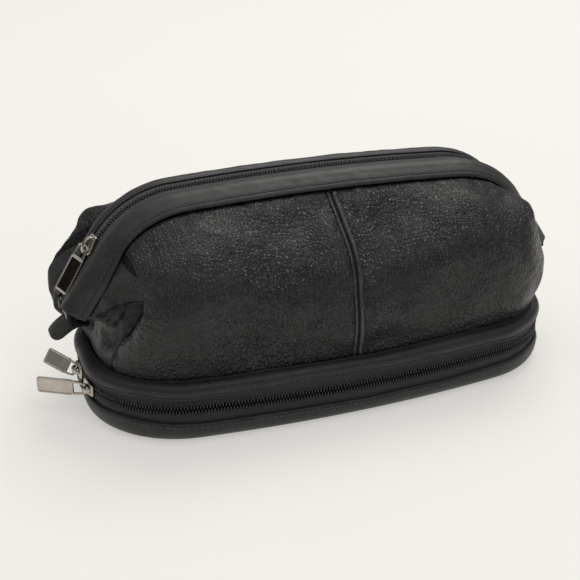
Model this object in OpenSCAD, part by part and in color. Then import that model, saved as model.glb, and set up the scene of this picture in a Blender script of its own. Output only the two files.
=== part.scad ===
// Framed shaving kit bag: a soft arched main compartment on a zip-round tray.
// Millimetres. X runs along the bag, Y from front (-) to back (+), Z up from the floor.
// The origin is on the floor, under the middle of the bag.

/* [Base outline] */
// Length of the base
base_l = 266; // [220:1:330]
// Depth of the base, front to back
base_w = 134; // [124:1:170]
// Radius of the base's four corners
corner_r = 54; // [44:0.5:56]
// Straight stretch in the middle of each end
end_flat = 16; // [10:0.5:20]

/* [Tray and upper band] */
// Height of the tray's top edge
tray_h = 12.7; // [10:0.1:20]
// How far the tray's band tucks under at the floor
tray_tuck = 9; // [5:0.5:12]
// Height of the gap that shows the base zip
zip_gap_h = 12.4; // [11:0.1:16]
// Height of the padded band above the base zip
ring_h = 7.9; // [6:0.1:14]
// How far the panels are set in from the base outline
panel_inset = 6.3; // [5.8:0.1:9]
// Thickness of the bands' leather
band_t = 2.2; // [1.6:0.1:2.6]
// Thickness of the two stiffening boards
board_t = 2; // [1:0.1:3]

/* [Zip arch] */
// Height of the top zip above the floor, at the middle
arch_h = 117.8; // [105:0.1:135]
// How far each lower end of the arch reaches past the base's end
arch_over = 7.9; // [2:0.1:12]
// Height of the lower ends of the arch
arch_end_z = 61.5; // [57:0.1:70]
// Radius of the arch's shoulders
shoulder_r = 54.4; // [45:0.1:60]
// Radius of the slightly crowned top
crown_r = 1228; // [900:1:2000]
// Lean of the arch's straight arms from upright
arm_lean = 35.2; // [28:0.1:40]

/* [Frames and pivots] */
// Height of the pivot pins
pivot_z = 60; // [58:0.1:66]
// Radius of the pivot pins
pin_r = 1.5; // [1:0.05:2]
// Radial running clearance of the frame ears on the pins
pin_clear = 0.05; // [0.02:0.01:0.1]
// Width of the spring steel frame bars
bar_w = 5; // [4:0.1:6]
// Thickness of the spring steel frame bars
bar_t = 2; // [1.5:0.1:2.4]
// Height of the ears at the frame ends
ear_h = 7; // [6:0.1:9]

/* [Binding] */
// Distance from the zip's middle to each binding's inner edge
binding_in = 7.6; // [7:0.1:9]
// Distance from the zip's middle to each binding's outer seam
binding_out = 23.15; // [21:0.05:28]
// How far the outer seam lies below the zip
binding_drop = 6.1; // [5:0.1:9]

/* [Panels and lining] */
// Thickness of the body leather
panel_t = 1.6; // [1:0.1:2]
// Thickness of the lining cloth
lining_t = 0.5; // [0.4:0.1:0.8]
// How far the panels swell past the base outline's inset
swell = 3; // [0:0.1:5]
// Width of the raised strip over the centre seam
seam_w = 5; // [3:0.1:8]

/* [Zips] */
// Thickness of a zip chain
chain_t = 2; // [1.6:0.1:2.4]
// Width of one side's row of teeth
chain_w = 2.2; // [1.8:0.1:2.6]
// Gap between the two rows, where the slider's post runs
chain_gap = 1.8; // [1.6:0.1:2.2]
// Thickness of the zip tape
tape_t = 0.6; // [0.4:0.1:0.8]
// Clearance of the slider plates over the chain
slider_clear = 0.8; // [0.7:0.05:1]
// Length of a slider
slider_l = 11; // [9:0.5:12]
// Width of a slider
slider_w = 9; // [8:0.1:10]
// Thickness of the slider's two plates
plate_t = 1.2; // [0.8:0.1:1.4]
// Length of a pull, from its hinge
pull_l = 26; // [18:0.5:26]
// Width of a pull
pull_w = 8.8; // [7:0.1:9.4]
// Thickness of a pull
pull_t = 1.4; // [1:0.1:1.5]
// Radius of the pull's hinge bar
pull_pin_r = 0.72; // [0.6:0.01:0.8]

/* [Rest places] */
// Angle of the front base slider round its corner
front_slider_a = 10.4; // [6:0.1:60]
// Angle of the rear base slider before its corner starts
rear_slider_a = -4; // [-4:0.1:40]
// Angle of the top slider below its shoulder's lower end
top_slider_a = -4; // [-4:0.1:20]
// Lift of the front base pull from flat
front_pull_a = 46; // [36:1:160]
// Lift of the rear base pull from flat
rear_pull_a = 159; // [110:1:165]

/* [End tabs] */
// Width of the leather end tabs
tab_w = 20; // [14:0.5:24]
// Height of the lower edge of the end tabs
tab_low = 43.5; // [40:0.5:50]
// Thickness of the folded end tabs
tab_t = 2.4; // [1.6:0.1:3]

/* [Hidden] */
$fn = 48;

// Base outline: a quarter is a side arc, a corner arc and half of the end's straight stretch.
half_l = base_l / 2;
half_w = base_w / 2;
corner_x = half_l - corner_r;
corner_y = end_flat / 2;
side_lift = half_w - corner_y;
side_r = (corner_x * corner_x + side_lift * side_lift - corner_r * corner_r)
  / (2 * (side_lift - corner_r));
side_a = asin(corner_x / (side_r - corner_r));
side_len = side_r * side_a * PI / 180;
corner_len = corner_r * (90 - side_a) * PI / 180;
quarter_len = side_len + corner_len + corner_y;
side_steps = 4;
corner_steps = 12;
QUARTER = concat(
  [for (i = [0:side_steps]) side_len * i / side_steps],
  [for (i = [1:corner_steps]) side_len + corner_len * i / corner_steps],
  [quarter_len]
);
quarter_n = len(QUARTER) - 1;
outline_n = 4 * quarter_n;
// The zip starts one step round each back corner, clear of the hinge strip.
zip_first = side_steps + 1;
zip_last = outline_n - zip_first;

// Heights, from the floor up.
ring_low = tray_h + zip_gap_h;
zip_z = tray_h + zip_gap_h / 2;
ring_top = ring_low + ring_h;
floor_low = ring_low + 0.4;
floor_top = floor_low + board_t;
panel_low = ring_top - 3.5;
// Places measured in from the base outline.
tape_in = band_t;
chain_in = tape_in + tape_t / 2 - chain_t / 2;
part_gap = 0.3;
board_in = tape_in + tape_t + part_gap;
panel_in = panel_inset + 0.7;
lining_in = panel_t + 0.7;

// Arch: crowned top, two shoulders and two straight leaning arms.
arch_half = half_l + arch_over;
crown_z = arch_h - crown_r;
arm_x = cos(arm_lean);
arm_z = sin(arm_lean);
crown_a = asin((arch_half * arm_x + (arch_end_z - crown_z) * arm_z - shoulder_r)
  / (crown_r - shoulder_r)) - arm_lean;
shoulder_a = 90 - arm_lean;
shoulder_x = (crown_r - shoulder_r) * sin(crown_a);
shoulder_z = crown_z + (crown_r - shoulder_r) * cos(crown_a);
crown_len = crown_r * crown_a * PI / 180;
shoulder_len = shoulder_r * (shoulder_a - crown_a) * PI / 180;
arm_start_x = shoulder_x + shoulder_r * arm_x;
arm_len = (arch_half - arm_start_x) / arm_z;
arch_len = crown_len + shoulder_len + arm_len;
crown_steps = 3;
shoulder_steps = 9;

// Frame cover, tape and teeth, by distance below the zip line.
binding_start = 2;
tape_start = 7;
tape_drop = chain_t / 2 + 0.2;
chain_out = chain_gap / 2 + chain_w;
tape_edge = binding_in + 1.9;
bar_drop = tape_drop + tape_t + 0.2;
bar_in = tape_edge + 0.5;
bar_out = bar_in + bar_w;
seam_y = binding_out - 0.35;
seam_drop = binding_drop + 1.4;

// Pivot ears and pins, from the outside in.
ear_t = 1.5;
ear_gap = 0.4;
ear_rise = 2.1;
pin_head_t = 1.5;
ear_x = arch_half - bar_drop * arm_x - 0.2;
front_ear_x = ear_x - ear_t;
back_ear_x = front_ear_x - ear_gap - ear_t;
pin_head_x = ear_x + ear_gap;
tab_x = pin_head_x + pin_head_t;

// Slider places.
chain_top_r = corner_r - chain_in;
post_w = chain_gap - 0.7;
post_l = 1.4;
pull_z = slider_clear + plate_t + 1.5;
bridge_w = 2.6;
bridge_r = 1.6;
top_angle = shoulder_a - top_slider_a;
teeth_start = arm_len + shoulder_r * top_slider_a * PI / 180 - slider_l / 2 + post_l + 1.3;

// ---- outlines ----

// Point on the front left quarter, s along it from the front's middle
function quarter_at(s, inset) =
  s <= side_len
  ? let (a = s / side_r * 180 / PI)
    [-(side_r - inset) * sin(a), side_r - half_w - (side_r - inset) * cos(a)]
  : s <= side_len + corner_len
  ? let (a = side_a + (s - side_len) / corner_r * 180 / PI)
    [-corner_x - (corner_r - inset) * sin(a), -corner_y - (corner_r - inset) * cos(a)]
  : [inset - half_l, s - quarter_len];

// Whole outline, counter-clockwise from the back's middle
function outline(inset) =
  let (q = [for (s = QUARTER) quarter_at(s, inset)], n = quarter_n)
  concat(
    [for (i = [0:n]) [q[i].x, -q[i].y]],
    [for (i = [n - 1:-1:0]) q[i]],
    [for (i = [1:n]) [-q[i].x, q[i].y]],
    [for (i = [n - 1:-1:1]) [-q[i].x, -q[i].y]]
  );

// Stretch of the outline from one index to another
function stretch(inset, first, last) =
  let (p = outline(inset)) [for (i = [first:last]) p[(i + outline_n) % outline_n]];

// Point on the arch, s along it from the middle, drop below it
function arch_at(s, drop) =
  let (side = s < 0 ? -1 : 1, t = abs(s))
  t <= crown_len
  ? let (a = t / crown_r * 180 / PI)
    [side * (crown_r - drop) * sin(a), crown_z + (crown_r - drop) * cos(a)]
  : t <= crown_len + shoulder_len
  ? let (a = crown_a + (t - crown_len) / shoulder_r * 180 / PI)
    [side * (shoulder_x + (shoulder_r - drop) * sin(a)), shoulder_z + (shoulder_r - drop) * cos(a)]
  : let (u = t - crown_len - shoulder_len)
    [side * (shoulder_x + (shoulder_r - drop) * arm_x + u * arm_z),
      shoulder_z + (shoulder_r - drop) * arm_z - u * arm_x];

// Places along half the arch, stopping short of its lower end
function half_stops(short) = concat(
  [for (i = [0:crown_steps]) crown_len * i / crown_steps],
  [for (i = [1:shoulder_steps]) crown_len + shoulder_len * i / shoulder_steps],
  [for (u = [arm_len / 2, arm_len - short]) if (u <= arm_len - short) crown_len + shoulder_len + u]
);

// Places along the whole arch, with its own stop at each end
function stops(short_left, short_right) =
  let (l = half_stops(short_left), r = half_stops(short_right))
  concat([for (i = [len(l) - 1:-1:1]) -l[i]], r);

// Arch strip in its own plane, between two drops
module arch_strip(low, high, short_left, short_right) {
  places = stops(short_left, short_right);
  n = len(places) - 1;
  polygon(concat(
    [for (s = places) arch_at(s, low)],
    [for (i = [n:-1:0]) arch_at(places[i], high)]
  ));
}

// Arch strip given its width along Y, on the front side
module front_arch_strip(low, high, near, far, short_left, short_right) {
  translate([0, -near, 0])
    rotate([90, 0, 0])
      linear_extrude(far - near)
        arch_strip(low, high, short_left, short_right);
}

// A four-sided face as two triangles
function quad(a, b, c, d) = [[a, b, c], [a, c, d]];

// Solid through rings of points; every ring has the same number of points and is a long thin
// shape whose second half runs back along its first
module skin(rings, closed = false) {
  n = len(rings);
  m = len(rings[0]);
  last = (n - 1) * m;
  sides = [
    for (i = [0:n - (closed ? 1 : 2)])
      for (j = [0:m - 1])
        let (k = (i + 1) % n, l = (j + 1) % m)
          each quad(i * m + j, i * m + l, k * m + l, k * m + j)
  ];
  caps = [
    for (j = [0:ceil(m / 2) - 2])
      let (far = m - 1 - j, near = far - 1)
        each near == j + 1
          ? [[j, far, near], [last + j, last + near, last + far]]
          : concat(quad(j, far, near, j + 1), quad(last + j, last + j + 1, last + near, last + far))
  ];
  polyhedron([for (r = rings) each r], closed ? sides : concat(sides, caps));
}

// Band that follows the whole outline; each profile point is [inset, height]
module band(profile) {
  lines = [for (p = profile) outline(p[0])];
  skin([
    for (i = [0:outline_n - 1])
      [for (j = [0:len(profile) - 1]) [lines[j][i].x, lines[j][i].y, profile[j][1]]]
  ], true);
}

// Strip of cloth or teeth along part of the outline
module outline_strip(inset, thick, low, high, first, last) {
  inner = stretch(inset + thick, first, last);
  n = len(inner) - 1;
  translate([0, 0, low])
    linear_extrude(high - low)
      polygon(concat(stretch(inset, first, last), [for (i = [n:-1:0]) inner[i]]));
}

// Flat plate inside the outline
module plate(inset, low, high) {
  translate([0, 0, low])
    linear_extrude(high - low)
      polygon(outline(inset));
}

// ---- tray ----

module bottom_panel() {
  color("#2a2a2b") plate(tray_tuck, 0, band_t);
}

module bottom_board() {
  color("#6b5d4a") plate(tray_tuck + part_gap, band_t, band_t + board_t);
}

module tray_band() {
  t = tray_tuck;
  color("#303032")
    band([
      [t, 0], [t * 0.55, 0.9], [t * 0.22, 3.4], [0.5, tray_h * 0.55], [0.1, tray_h * 0.82],
      [0.5, tray_h], [band_t, tray_h], [band_t, tray_h * 0.62],
      [band_t + t * 0.22, tray_h * 0.37], [t, band_t]
    ]);
}

module tray_lining() {
  low = band_t + board_t;
  wall_in = band_t + tray_tuck * 0.3 + 0.2;
  color("#55524c")
    union() {
      plate(tray_tuck + part_gap, low, low + lining_t);
      difference() {
        plate(wall_in, tray_h * 0.45, tray_h - part_gap);
        plate(wall_in + lining_t, tray_h * 0.45 - 1, tray_h);
      }
      difference() {
        plate(wall_in, tray_h * 0.45 - lining_t, tray_h * 0.45);
        plate(tray_tuck + lining_t, 0, tray_h);
      }
      difference() {
        plate(tray_tuck + part_gap, low, tray_h * 0.45);
        plate(tray_tuck + part_gap + lining_t, 0, tray_h);
      }
    }
}

module tray_zip_tape() {
  color("#252527")
    outline_strip(tape_in, tape_t, tray_h - 3.2, zip_z - chain_out, zip_first, zip_last);
}

module tray_zip_teeth() {
  color("#1d1d1f")
    outline_strip(chain_in, chain_t, zip_z - chain_out, zip_z - chain_gap / 2, zip_first, zip_last);
}

// Leather strip down the back that joins the tray to the upper band
module hinge_strip() {
  color("#2c2c2e")
    outline_strip(band_t, band_t / 2, tray_h - 3.2, ring_low + 3, -side_steps, side_steps);
}

// ---- main bag ----

module ring_band() {
  inner = panel_inset;
  color("#343436")
    band([
      [0.8, ring_low], [0.1, ring_low + 1.5], [0, ring_low + 3.2], [0.6, ring_top - 2.6],
      [2.4, ring_top - 0.7], [inner - 1.7, ring_top], [inner, ring_top - 0.4],
      [inner, ring_top - 1.8], [inner - 1.9, ring_top - 2.1], [band_t + 0.4, ring_top - 3.4],
      [band_t, ring_low + 3.3], [band_t, ring_low]
    ]);
}

module ring_zip_tape() {
  color("#252527")
    outline_strip(tape_in, tape_t, zip_z + chain_out, ring_low + 3.2, zip_first, zip_last);
}

module ring_zip_teeth() {
  color("#1d1d1f")
    outline_strip(chain_in, chain_t, zip_z + chain_gap / 2, zip_z + chain_out, zip_first, zip_last);
}

module floor_board() {
  color("#6b5d4a") plate(board_in + 0.6, floor_low, floor_top);
}

module floor_lining() {
  color("#55524c") plate(panel_in + lining_in + lining_t + part_gap, floor_top, floor_top + lining_t);
}

// Share of a panel's run that follows the frame; the rest closes the bag's end
frame_share = 0.9;
end_gap = 0.2;
panel_columns = 16;
panel_rows = 8;

// Upper edge of the front left panel, u from the centre seam to the end seam
function panel_top(u, in) =
  let (
    w = min(1, u / frame_share),
    e = max(0, (u - frame_share) / (1 - frame_share)),
    p = arch_at(-w * (arch_len - binding_start), seam_drop + in),
    y = -seam_y + e * (seam_y - end_gap)
  )
  [p.x + e * 1.2, y, p.y - e * 2.5];

// Point on the front left panel, v from the band up to the frame, in below the leather's face
function panel_at(u, v, in) =
  let (
    s = u * (quarter_len - end_gap),
    z0 = panel_low,
    a = quarter_at(s, panel_in + in),
    b = quarter_at(s, panel_in - swell + in),
    c = quarter_at(s, panel_in - 1 + in),
    d = panel_top(u, in),
    z1 = z0 + (d.z - z0) * 0.4,
    z2 = z0 + (d.z - z0) * 0.82 - in
  )
  pow(1 - v, 3) * [a.x, a.y, z0] + 3 * v * pow(1 - v, 2) * [b.x, b.y, z1]
    + 3 * v * v * (1 - v) * [c.x, c.y, z2] + v * v * v * d;

// Shell of a panel between two depths; it closes into a ring of points at each u
function panel_ring(u, from, to) = concat(
  [for (i = [0:panel_rows]) panel_at(u, i / panel_rows, from)],
  [for (i = [panel_rows:-1:0]) panel_at(u, i / panel_rows, to)]
);

module front_left_shell(from, to, start) {
  skin([
    for (i = [panel_columns:-1:0])
      panel_ring(start + (1 - start) * i / panel_columns, from, to)
  ]);
}

module panel() {
  front_left_shell(0, panel_t, 0.002);
}

module front_panel_left() {
  color("#333335") panel();
}

module front_panel_right() {
  color("#333335") mirror([1, 0, 0]) panel();
}

module back_panel_left() {
  color("#333335") mirror([0, 1, 0]) panel();
}

module back_panel_right() {
  color("#333335") rotate([0, 0, 180]) panel();
}

// Point on the centre seam, on the straight run between two of the panel's rows
function seam_at(row, in) =
  let (i = floor(row), a = panel_at(0, i / panel_rows, in), b = panel_at(0, (i + 1) / panel_rows, in))
  a + (row - i) * (b - a);

// Raised strip that covers the seam between the left and right panels
module centre_seam() {
  lift = 1.1;
  places = concat([0.4], [for (i = [1:panel_rows - 1]) i], [panel_rows - 0.5]);
  skin([
    for (row = places)
      let (o = seam_at(row, -lift), p = seam_at(row, -0.1))
        [[-seam_w / 2, p.y, p.z], [-seam_w / 2 + 1, o.y, o.z],
          [seam_w / 2 - 1, o.y, o.z], [seam_w / 2, p.y, p.z]]
  ]);
}

module front_centre_seam() {
  color("#39393b") centre_seam();
}

module back_centre_seam() {
  color("#39393b") mirror([0, 1, 0]) centre_seam();
}

module half_lining() {
  front_left_shell(lining_in, lining_in + lining_t, 0);
}

module front_lining() {
  color("#55524c")
    union() {
      half_lining();
      mirror([1, 0, 0]) half_lining();
    }
}

module back_lining() {
  color("#55524c") mirror([0, 1, 0]) front_lining();
}

// ---- pivots and end tabs ----

module pivot_pin() {
  tail = back_ear_x - ear_gap;
  translate([-pin_head_x - pin_head_t, 0, pivot_z])
    rotate([0, 90, 0])
      cylinder(pin_head_t, r = 2 * pin_r);
  translate([-pin_head_x, 0, pivot_z])
    rotate([0, 90, 0])
      cylinder(pin_head_x - tail, r = pin_r);
  translate([-tail, 0, pivot_z])
    rotate([0, 90, 0])
      cylinder(pin_head_t, r = 1.7 * pin_r);
}

module pivot_pin_left() {
  color("#b9b7b0") pivot_pin();
}

module pivot_pin_right() {
  color("#b9b7b0") mirror([1, 0, 0]) pivot_pin();
}

// Folded leather tongue that hangs over each pivot
module end_tab() {
  round_r = 6;
  neck_w = 10;
  shoulder = pivot_z - 4;
  translate([-tab_x - tab_t, 0, 0])
    rotate([90, 0, 90])
      linear_extrude(tab_t)
        union() {
          translate([-neck_w / 2, tab_low + round_r]) square([neck_w, pivot_z + 3 - tab_low - round_r]);
          translate([-tab_w / 2, tab_low + round_r]) square([tab_w, shoulder - tab_low - round_r]);
          translate([round_r - tab_w / 2, tab_low]) square([tab_w - 2 * round_r, round_r + 1]);
          for (side = [-1, 1])
            translate([side * (tab_w / 2 - round_r), tab_low + round_r]) circle(round_r);
        }
}

module end_tab_left() {
  color("#2b2b2d") end_tab();
}

module end_tab_right() {
  color("#2b2b2d") mirror([1, 0, 0]) end_tab();
}

// ---- frames ----

// Spring steel bar along the arch, with an eyelet ear at each end
module frame_bar(ear_in) {
  difference() {
    union() {
      front_arch_strip(bar_drop, bar_drop + bar_t, bar_in, bar_out, 0, 0);
      for (side = [0, 1])
        mirror([side, 0, 0]) {
          translate([-ear_in - ear_t, -bar_out, pivot_z - ear_h / 2])
            cube([ear_t, bar_out, ear_h / 2 + ear_rise]);
          translate([-ear_in - ear_t, 0, pivot_z])
            rotate([0, 90, 0])
              cylinder(ear_t, r = ear_h / 2);
        }
    }
    translate([-arch_half, 0, pivot_z])
      rotate([0, 90, 0])
        cylinder(2 * arch_half, r = pin_r + pin_clear);
  }
}

// Leather cover folded over the bar; each profile point is [distance from the middle, drop]
module binding() {
  profile = [
    [binding_in, 0.2], [binding_in + 2.4, -0.5], [bar_out - 1, -0.3], [bar_out + 3, 1.3],
    [binding_out - 1.6, binding_drop - 2.3], [binding_out, binding_drop],
    [binding_out - 0.9, binding_drop + 0.9], [bar_out + 4, binding_drop - 1.7],
    [bar_out + 1.2, bar_drop], [tape_edge + 0.4, tape_drop - 0.1], [binding_in, tape_drop - 0.1]
  ];
  skin([
    for (s = stops(binding_start, binding_start))
      [for (i = [len(profile) - 1:-1:0])
        let (q = arch_at(s, profile[i][1])) [q.x, -profile[i][0], q.y]]
  ]);
}

module top_tape() {
  front_arch_strip(tape_drop, tape_drop + tape_t, chain_out, tape_edge, tape_start, tape_start);
}

module top_teeth() {
  front_arch_strip(0, chain_t, chain_gap / 2, chain_out, teeth_start, tape_start);
}

module front_frame_bar() {
  color("#8d8f92") frame_bar(front_ear_x);
}

module front_binding() {
  color("#3c3c3e") binding();
}

module front_top_tape() {
  color("#252527") top_tape();
}

module front_top_teeth() {
  color("#1d1d1f") top_teeth();
}

module back_frame_bar() {
  color("#8d8f92") mirror([0, 1, 0]) frame_bar(back_ear_x);
}

module back_binding() {
  color("#3c3c3e") mirror([0, 1, 0]) binding();
}

module back_top_tape() {
  color("#252527") mirror([0, 1, 0]) top_tape();
}

module back_top_teeth() {
  color("#1d1d1f") mirror([0, 1, 0]) top_teeth();
}

// ---- sliders and pulls ----
// A slider's own frame: X towards the closed teeth, Z out of the bag, its origin on the chain's face.

module rounded_plate(l, w, t, r) {
  linear_extrude(t)
    union() {
      translate([-l / 2 + r, -w / 2]) square([l - 2 * r, w]);
      translate([-l / 2, -w / 2 + r]) square([l, w - 2 * r]);
      for (x = [-1, 1])
        for (y = [-1, 1])
          translate([x * (l / 2 - r), y * (w / 2 - r)]) circle(r);
    }
}

module slider() {
  difference() {
    union() {
      translate([0, 0, slider_clear]) rounded_plate(slider_l, slider_w, plate_t, 1.8);
      translate([0, 0, -chain_t - slider_clear - plate_t])
        rounded_plate(slider_l, slider_w, plate_t, 1.8);
      translate([-slider_l / 2 + 0.8, -post_w / 2, -chain_t - slider_clear - plate_t / 2])
        cube([post_l, post_w, chain_t + 2 * slider_clear + plate_t]);
      translate([-bridge_r, -bridge_w / 2, slider_clear + plate_t / 2])
        cube([2 * bridge_r, bridge_w, pull_z - slider_clear - plate_t / 2]);
      translate([0, bridge_w / 2, pull_z]) rotate([90, 0, 0]) cylinder(bridge_w, r = bridge_r);
    }
    translate([0, slider_w / 2, pull_z])
      rotate([90, 0, 0])
        cylinder(slider_w, r = pull_pin_r + 0.08);
  }
}

// Pull plate with a narrowing loop, lifted about its hinge bar
module pull(lift) {
  loop_l = 6.5;
  neck_w = 7;
  rim = 1.2;
  plate_l = pull_l - loop_l;
  translate([0, 0, pull_z])
    rotate([0, lift, 0])
      union() {
        translate([-loop_l - plate_l / 2, 0, -pull_t / 2])
          rounded_plate(plate_l, pull_w, pull_t, 1.6);
        translate([0, 0, -pull_t / 2])
          linear_extrude(pull_t)
            difference() {
              polygon([[0, -neck_w / 2], [0, neck_w / 2], [-loop_l - 2, pull_w / 2],
                [-loop_l - 2, -pull_w / 2]]);
              polygon([[1, rim - neck_w / 2], [1, neck_w / 2 - rim],
                [-loop_l + 1, pull_w / 2 - rim - 0.3], [-loop_l + 1, rim + 0.3 - pull_w / 2]]);
            }
        translate([0, neck_w / 2, 0]) rotate([90, 0, 0]) cylinder(neck_w, r = pull_pin_r);
      }
}

module at_top_slider() {
  translate([-shoulder_x - shoulder_r * sin(top_angle), 0, shoulder_z + shoulder_r * cos(top_angle)])
    rotate([0, -top_angle, 0])
      children();
}

module at_front_base_slider() {
  a = front_slider_a;
  translate([-corner_x - chain_top_r * cos(a), -corner_y - chain_top_r * sin(a), zip_z])
    rotate([90, 0, a - 90])
      children();
}

module at_rear_base_slider() {
  a = rear_slider_a;
  translate([-corner_x - chain_top_r * cos(a), corner_y + chain_top_r * sin(a), zip_z])
    rotate([-90, 0, 90 - a])
      children();
}

module top_slider() {
  color("#c9c8c2") at_top_slider() slider();
}

module top_pull() {
  color("#c9c8c2") at_top_slider() pull(0);
}

module front_base_slider() {
  color("#c9c8c2") at_front_base_slider() slider();
}

module front_base_pull() {
  color("#c9c8c2") at_front_base_slider() pull(front_pull_a);
}

module rear_base_slider() {
  color("#c9c8c2") at_rear_base_slider() slider();
}

module rear_base_pull() {
  color("#c9c8c2") at_rear_base_slider() pull(rear_pull_a);
}

bottom_panel();
bottom_board();
tray_band();
tray_lining();
tray_zip_tape();
tray_zip_teeth();
hinge_strip();
ring_band();
ring_zip_tape();
ring_zip_teeth();
floor_board();
floor_lining();
front_panel_left();
front_panel_right();
back_panel_left();
back_panel_right();
front_centre_seam();
back_centre_seam();
front_lining();
back_lining();
pivot_pin_left();
pivot_pin_right();
end_tab_left();
end_tab_right();
front_frame_bar();
front_binding();
front_top_tape();
front_top_teeth();
back_frame_bar();
back_binding();
back_top_tape();
back_top_teeth();
top_slider();
top_pull();
front_base_slider();
front_base_pull();
rear_base_slider();
rear_base_pull();
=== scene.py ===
"""Framed shaving kit bag: a soft leather body on a zip-round tray, with two hinged frames.

The classes hold their sizes in millimetres; finished meshes are in metres, in the bag's own
frame: X along the bag, Y from front (-) to back (+), Z up from the floor.
"""

import logging
import math
from dataclasses import dataclass, field
from enum import Enum
from typing import Any, Callable, Sequence

import bmesh
import bpy
import numpy as np
from mathutils import Matrix, Vector


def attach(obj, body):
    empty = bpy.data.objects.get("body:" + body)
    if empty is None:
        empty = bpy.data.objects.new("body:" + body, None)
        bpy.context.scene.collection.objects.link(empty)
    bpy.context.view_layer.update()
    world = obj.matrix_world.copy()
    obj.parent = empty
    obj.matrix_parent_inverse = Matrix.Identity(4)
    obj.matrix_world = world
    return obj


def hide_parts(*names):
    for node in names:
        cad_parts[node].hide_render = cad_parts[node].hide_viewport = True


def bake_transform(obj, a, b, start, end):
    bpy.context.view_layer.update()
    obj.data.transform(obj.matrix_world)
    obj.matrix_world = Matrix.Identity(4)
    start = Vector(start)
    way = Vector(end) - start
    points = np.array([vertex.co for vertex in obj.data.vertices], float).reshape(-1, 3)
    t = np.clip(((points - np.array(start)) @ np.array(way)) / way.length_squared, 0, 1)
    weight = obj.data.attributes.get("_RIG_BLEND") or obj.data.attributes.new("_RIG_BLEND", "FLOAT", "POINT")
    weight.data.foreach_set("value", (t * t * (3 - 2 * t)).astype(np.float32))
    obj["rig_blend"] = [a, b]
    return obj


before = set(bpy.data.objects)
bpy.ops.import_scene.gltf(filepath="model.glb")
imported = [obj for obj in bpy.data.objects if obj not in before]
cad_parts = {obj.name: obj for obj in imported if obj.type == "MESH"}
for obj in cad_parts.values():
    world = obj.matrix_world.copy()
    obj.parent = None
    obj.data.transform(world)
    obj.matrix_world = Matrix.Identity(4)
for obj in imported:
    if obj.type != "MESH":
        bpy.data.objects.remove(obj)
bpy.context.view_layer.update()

log = logging.getLogger("kit_bag")

MM = 0.001
REST = "rest_place"
Grid = np.ndarray


class Side(Enum):
    """Which way a mirrored piece faces, as signs for X and Y."""

    FRONT_LEFT = (1, 1)
    FRONT_RIGHT = (-1, 1)
    BACK_LEFT = (1, -1)
    BACK_RIGHT = (-1, -1)

    @property
    def signs(self) -> np.ndarray:
        """Multipliers that carry a front left point to this side."""
        return np.array([self.value[0], self.value[1], 1.0])

    @property
    def turned(self) -> bool:
        """Whether the mirror turns faces inside out."""
        return self.value[0] * self.value[1] < 0


class Place(Enum):
    """Where a pattern reads its coordinates."""

    OBJECT = "object"
    REST = "rest"


# ---- small tools ----


def linear(code: str) -> tuple[float, float, float, float]:
    """Turn an sRGB hex colour into linear RGBA.

    Args:
        code: Six hex digits with a leading '#'.

    Returns:
        Linear red, green, blue and an alpha of 1.
    """
    parts = [int(code[i : i + 2], 16) / 255 for i in (1, 3, 5)]
    return (*[c / 12.92 if c <= 0.04045 else ((c + 0.055) / 1.055) ** 2.4 for c in parts], 1.0)


def add_node(tree: bpy.types.NodeTree, kind: str, inputs: dict[Any, Any] | None = None, **settings: Any) -> Any:
    """Add a node to a tree, with its settings and its inputs.

    Args:
        tree: Tree that takes the node.
        kind: Blender's name of the node type.
        inputs: Values or output sockets, by input name or index.
        **settings: Properties of the node.

    Returns:
        The new node.
    """
    made = tree.nodes.new(kind)
    for key, value in settings.items():
        setattr(made, key, value)
    for key, value in (inputs or {}).items():
        if isinstance(value, bpy.types.NodeSocket):
            tree.links.new(value, made.inputs[key])
        else:
            made.inputs[key].default_value = value
    return made


def smooth_step(t: np.ndarray | float) -> np.ndarray:
    """Ease from 0 to 1 over t from 0 to 1."""
    t = np.clip(t, 0.0, 1.0)
    return t * t * (3 - 2 * t)


def spline(points: np.ndarray, per_span: int, closed: bool = False) -> np.ndarray:
    """Run a smooth curve through points along the first axis.

    Args:
        points: Control points; the first axis is the one to refine.
        per_span: Steps between two neighbouring points.
        closed: Whether the last point joins the first.

    Returns:
        The refined points.
    """
    p = np.asarray(points, float)
    if closed:
        p = np.concatenate([p[-1:], p, p[:2]])
    else:
        p = np.concatenate([2 * p[:1] - p[1:2], p, 2 * p[-1:] - p[-2:-1]])
    spans = len(p) - 3
    t = np.arange(per_span) / per_span
    shape = (-1,) + (1,) * (p.ndim - 1)
    rows = []
    for i in range(spans):
        a, b, c, d = (p[i + j][None] for j in range(4))
        w = t.reshape(shape)
        rows.append(
            0.5
            * (
                2 * b
                + (c - a) * w
                + (2 * a - 5 * b + 4 * c - d) * w**2
                + (3 * b - a - 3 * c + d) * w**3
            )
        )
    if not closed:
        rows.append(p[-2][None])
    return np.concatenate(rows)


def waves(points: np.ndarray, length: float, seed: int, count: int = 14) -> np.ndarray:
    """Smooth random swell over points in space.

    Args:
        points: Points in millimetres, last axis XYZ.
        length: Typical length of a wave in millimetres.
        seed: Fixes the pattern.
        count: Number of plane waves that are added.

    Returns:
        Values of about -1 to 1.
    """
    rng = np.random.default_rng(seed)
    total = np.zeros(points.shape[:-1])
    for _ in range(count):
        way = rng.normal(size=3)
        way *= 2 * math.pi / (np.linalg.norm(way) * length * rng.uniform(0.7, 1.4))
        total += np.sin(points @ way + rng.uniform(0, 2 * math.pi))
    return total / math.sqrt(count)


def grid_normals(points: Grid) -> Grid:
    """Unit normals of a grid of points, from its two directions."""
    u = np.gradient(points, axis=0)
    v = np.gradient(points, axis=1)
    n = np.cross(u, v)
    return n / np.maximum(np.linalg.norm(n, axis=-1, keepdims=True), 1e-9)


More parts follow.
